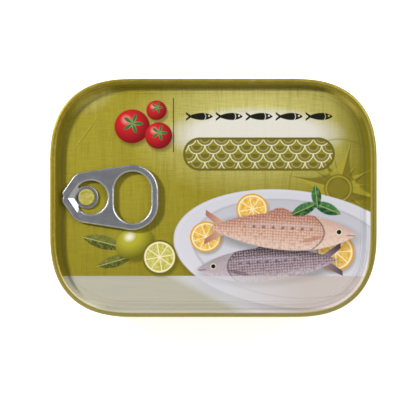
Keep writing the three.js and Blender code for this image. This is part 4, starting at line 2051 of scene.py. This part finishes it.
@dataclass(frozen=True)
class FloorPaint:
    """A pale matt floor that glows a little, as a light table does."""

    pale: Colour = (0.9, 0.9, 0.9, 1.0)
    paler: Colour = (0.93, 0.93, 0.93, 1.0)
    glow: float = 0.72

    def build(self) -> bpy.types.Material:
        """Puts the floor's material together.

        Returns:
            The material.
        """
        finish = Finish("floor_paint")
        sheet = finish.sheet
        clouds = sheet.noise(sheet.object_place(), scale=0.01)
        return finish.close(
            Base_Color=sheet.mix(clouds, self.pale, self.paler),
            Roughness=0.9,
            Emission_Color=(1.0, 1.0, 1.0, 1.0),
            Emission_Strength=self.glow,
            Specular_IOR_Level=0.1,
        )


# Studio


@dataclass(frozen=True)
class Lamp:
    """A square soft light that faces the tin, with its distance, side and power."""

    name: str
    towards: tuple[float, float, float]
    distance: float
    size: float
    power: float
    on_matt: bool = True
    on_gloss: bool = True

    def hang(self, aim: tuple[float, float, float]) -> None:
        """Hangs the light so that it faces the given place.

        Args:
            aim: The place that it faces.
        """
        light = bpy.data.lights.new(self.name, "AREA")
        light.shape = "SQUARE"
        light.size = self.size
        light.energy = self.power
        direction = np.array(self.towards) / np.linalg.norm(self.towards)
        lamp = bpy.data.objects.new(self.name, light)
        lamp.location = np.array(aim) + self.distance * direction
        lamp.rotation_euler = (
            math.acos(direction[2]),
            0.0,
            math.atan2(direction[1], direction[0]) + math.pi / 2,
        )
        lamp.visible_diffuse = self.on_matt
        lamp.visible_glossy = self.on_gloss
        bpy.context.scene.collection.objects.link(lamp)


@dataclass
class Studio:
    """The floor, the sky, the lights and the camera."""

    floor_half: float = 4.0
    floor_drop: float = 0.02 * MM
    horizon: Colour = (0.85, 0.85, 0.85, 1.0)
    front: Colour = (0.42, 0.41, 0.40, 1.0)
    back: Colour = (0.18, 0.18, 0.18, 1.0)
    zenith: Colour = (0.095, 0.095, 0.102, 1.0)
    front_run: tuple[float, float] = (0.0, -0.4)
    left_run: tuple[float, float] = (-0.15, -0.5)
    zenith_run: tuple[float, float] = (0.86, 0.97)
    horizon_run: tuple[float, float] = (0.05, 0.13)
    lamps: tuple[Lamp, ...] = (
        Lamp("key_light", (-0.725, 0.396, 0.564), 1.2, 0.17, 15.0, on_gloss=False),
        Lamp("key_sheen", (-0.725, 0.396, 0.564), 1.2, 0.5, 3.6, on_matt=False),
        Lamp("back_light", (0.576, 0.389, 0.719), 1.0, 0.7, 3.6),
    )
    aim: tuple[float, float, float] = (0.0, 0.0, 0.02)
    camera_place: tuple[float, float] = (-4.3 * MM, -0.68 * MM)
    seen_height: float = 20.5 * MM
    camera_distance: float = 0.65
    seen_width: float = 129.3 * MM
    sensor: float = 36.0

    def floor(self) -> None:
        """Lays a wide level floor just under the tin."""
        half = self.floor_half
        plan = np.array([[-half, -half], [half, -half], [half, half], [-half, half]])
        points = np.concatenate([plan, np.full((4, 1), -self.floor_drop)], axis=1)
        mesh = bpy.data.meshes.new("floor")
        mesh.from_pydata(points.tolist(), [], [(0, 1, 2, 3)])
        mesh.materials.append(FloorPaint().build())
        floor = bpy.data.objects.new("floor", mesh)
        bpy.context.scene.collection.objects.link(floor)

    def sky(self) -> None:
        """Puts a sky round the tin: pale low down, bright in front and on the left, grey overhead."""
        world = bpy.data.worlds.new("studio_sky")
        world.use_nodes = True
        world.node_tree.nodes.clear()
        sheet = NodeSheet(world.node_tree)
        along, across, up = sheet.split(sheet.signal(sheet.node("ShaderNodeTexCoord"), "Generated"))
        bright = across.ramp(*self.front_run).most(along.ramp(*self.left_run))
        sides = sheet.mix(bright, self.back, self.front)
        above = sheet.mix(up.ramp(*self.zenith_run), sides, self.zenith)
        colour = sheet.mix(up.ramp(*self.horizon_run), self.horizon, above)
        glow = sheet.node("ShaderNodeBackground", None, {"Color": colour, "Strength": 1.0})
        sheet.node("ShaderNodeOutputWorld", None, {"Surface": sheet.signal(glow, "Background")})
        bpy.context.scene.world = world

    def camera(self) -> None:
        """Hangs the camera straight above the lid."""
        lens = bpy.data.cameras.new("camera")
        lens.sensor_width = self.sensor
        lens.lens = self.sensor * self.camera_distance / self.seen_width
        camera = bpy.data.objects.new("camera", lens)
        camera.location = (*self.camera_place, self.seen_height + self.camera_distance)
        bpy.context.scene.collection.objects.link(camera)
        bpy.context.scene.camera = camera

    def build(self) -> None:
        """Sets up the whole studio."""
        bpy.context.scene.view_settings.view_transform = "Standard"
        self.floor()
        self.sky()
        for lamp in self.lamps:
            lamp.hang(self.aim)
        self.camera()


def fit(piece: bpy.types.Object, node: str) -> None:
    """Puts a piece in place of a CAD node.

    Args:
        piece: The finished piece.
        node: The node that it stands for.
    """
    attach(piece, "root")
    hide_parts(node)
    LOG.info("%s: %d faces in place of %s", piece.name, len(piece.data.polygons), node)


def main() -> None:
    """Builds the studio and the tin's three pieces, sized from the CAD nodes, and logs each piece's faces.
    """
    logging.basicConfig(level=logging.INFO, format="%(name)s: %(message)s")
    Studio().build()
    lid_low, lid_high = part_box("lid")
    outline = TinOutline((lid_high.x - lid_low.x) / 2, (lid_high.y - lid_low.y) / 2)
    body = CanBody(outline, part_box("can_body")[1].z)
    lid = Lid(outline, lid_high.z)
    pull = RingPull(lid.panel_top)
    fit(body.build(), "can_body")
    fit(lid.build(), "lid")
    fit(pull.build(), "ring_pull")


if __name__ == "__main__":
    main()
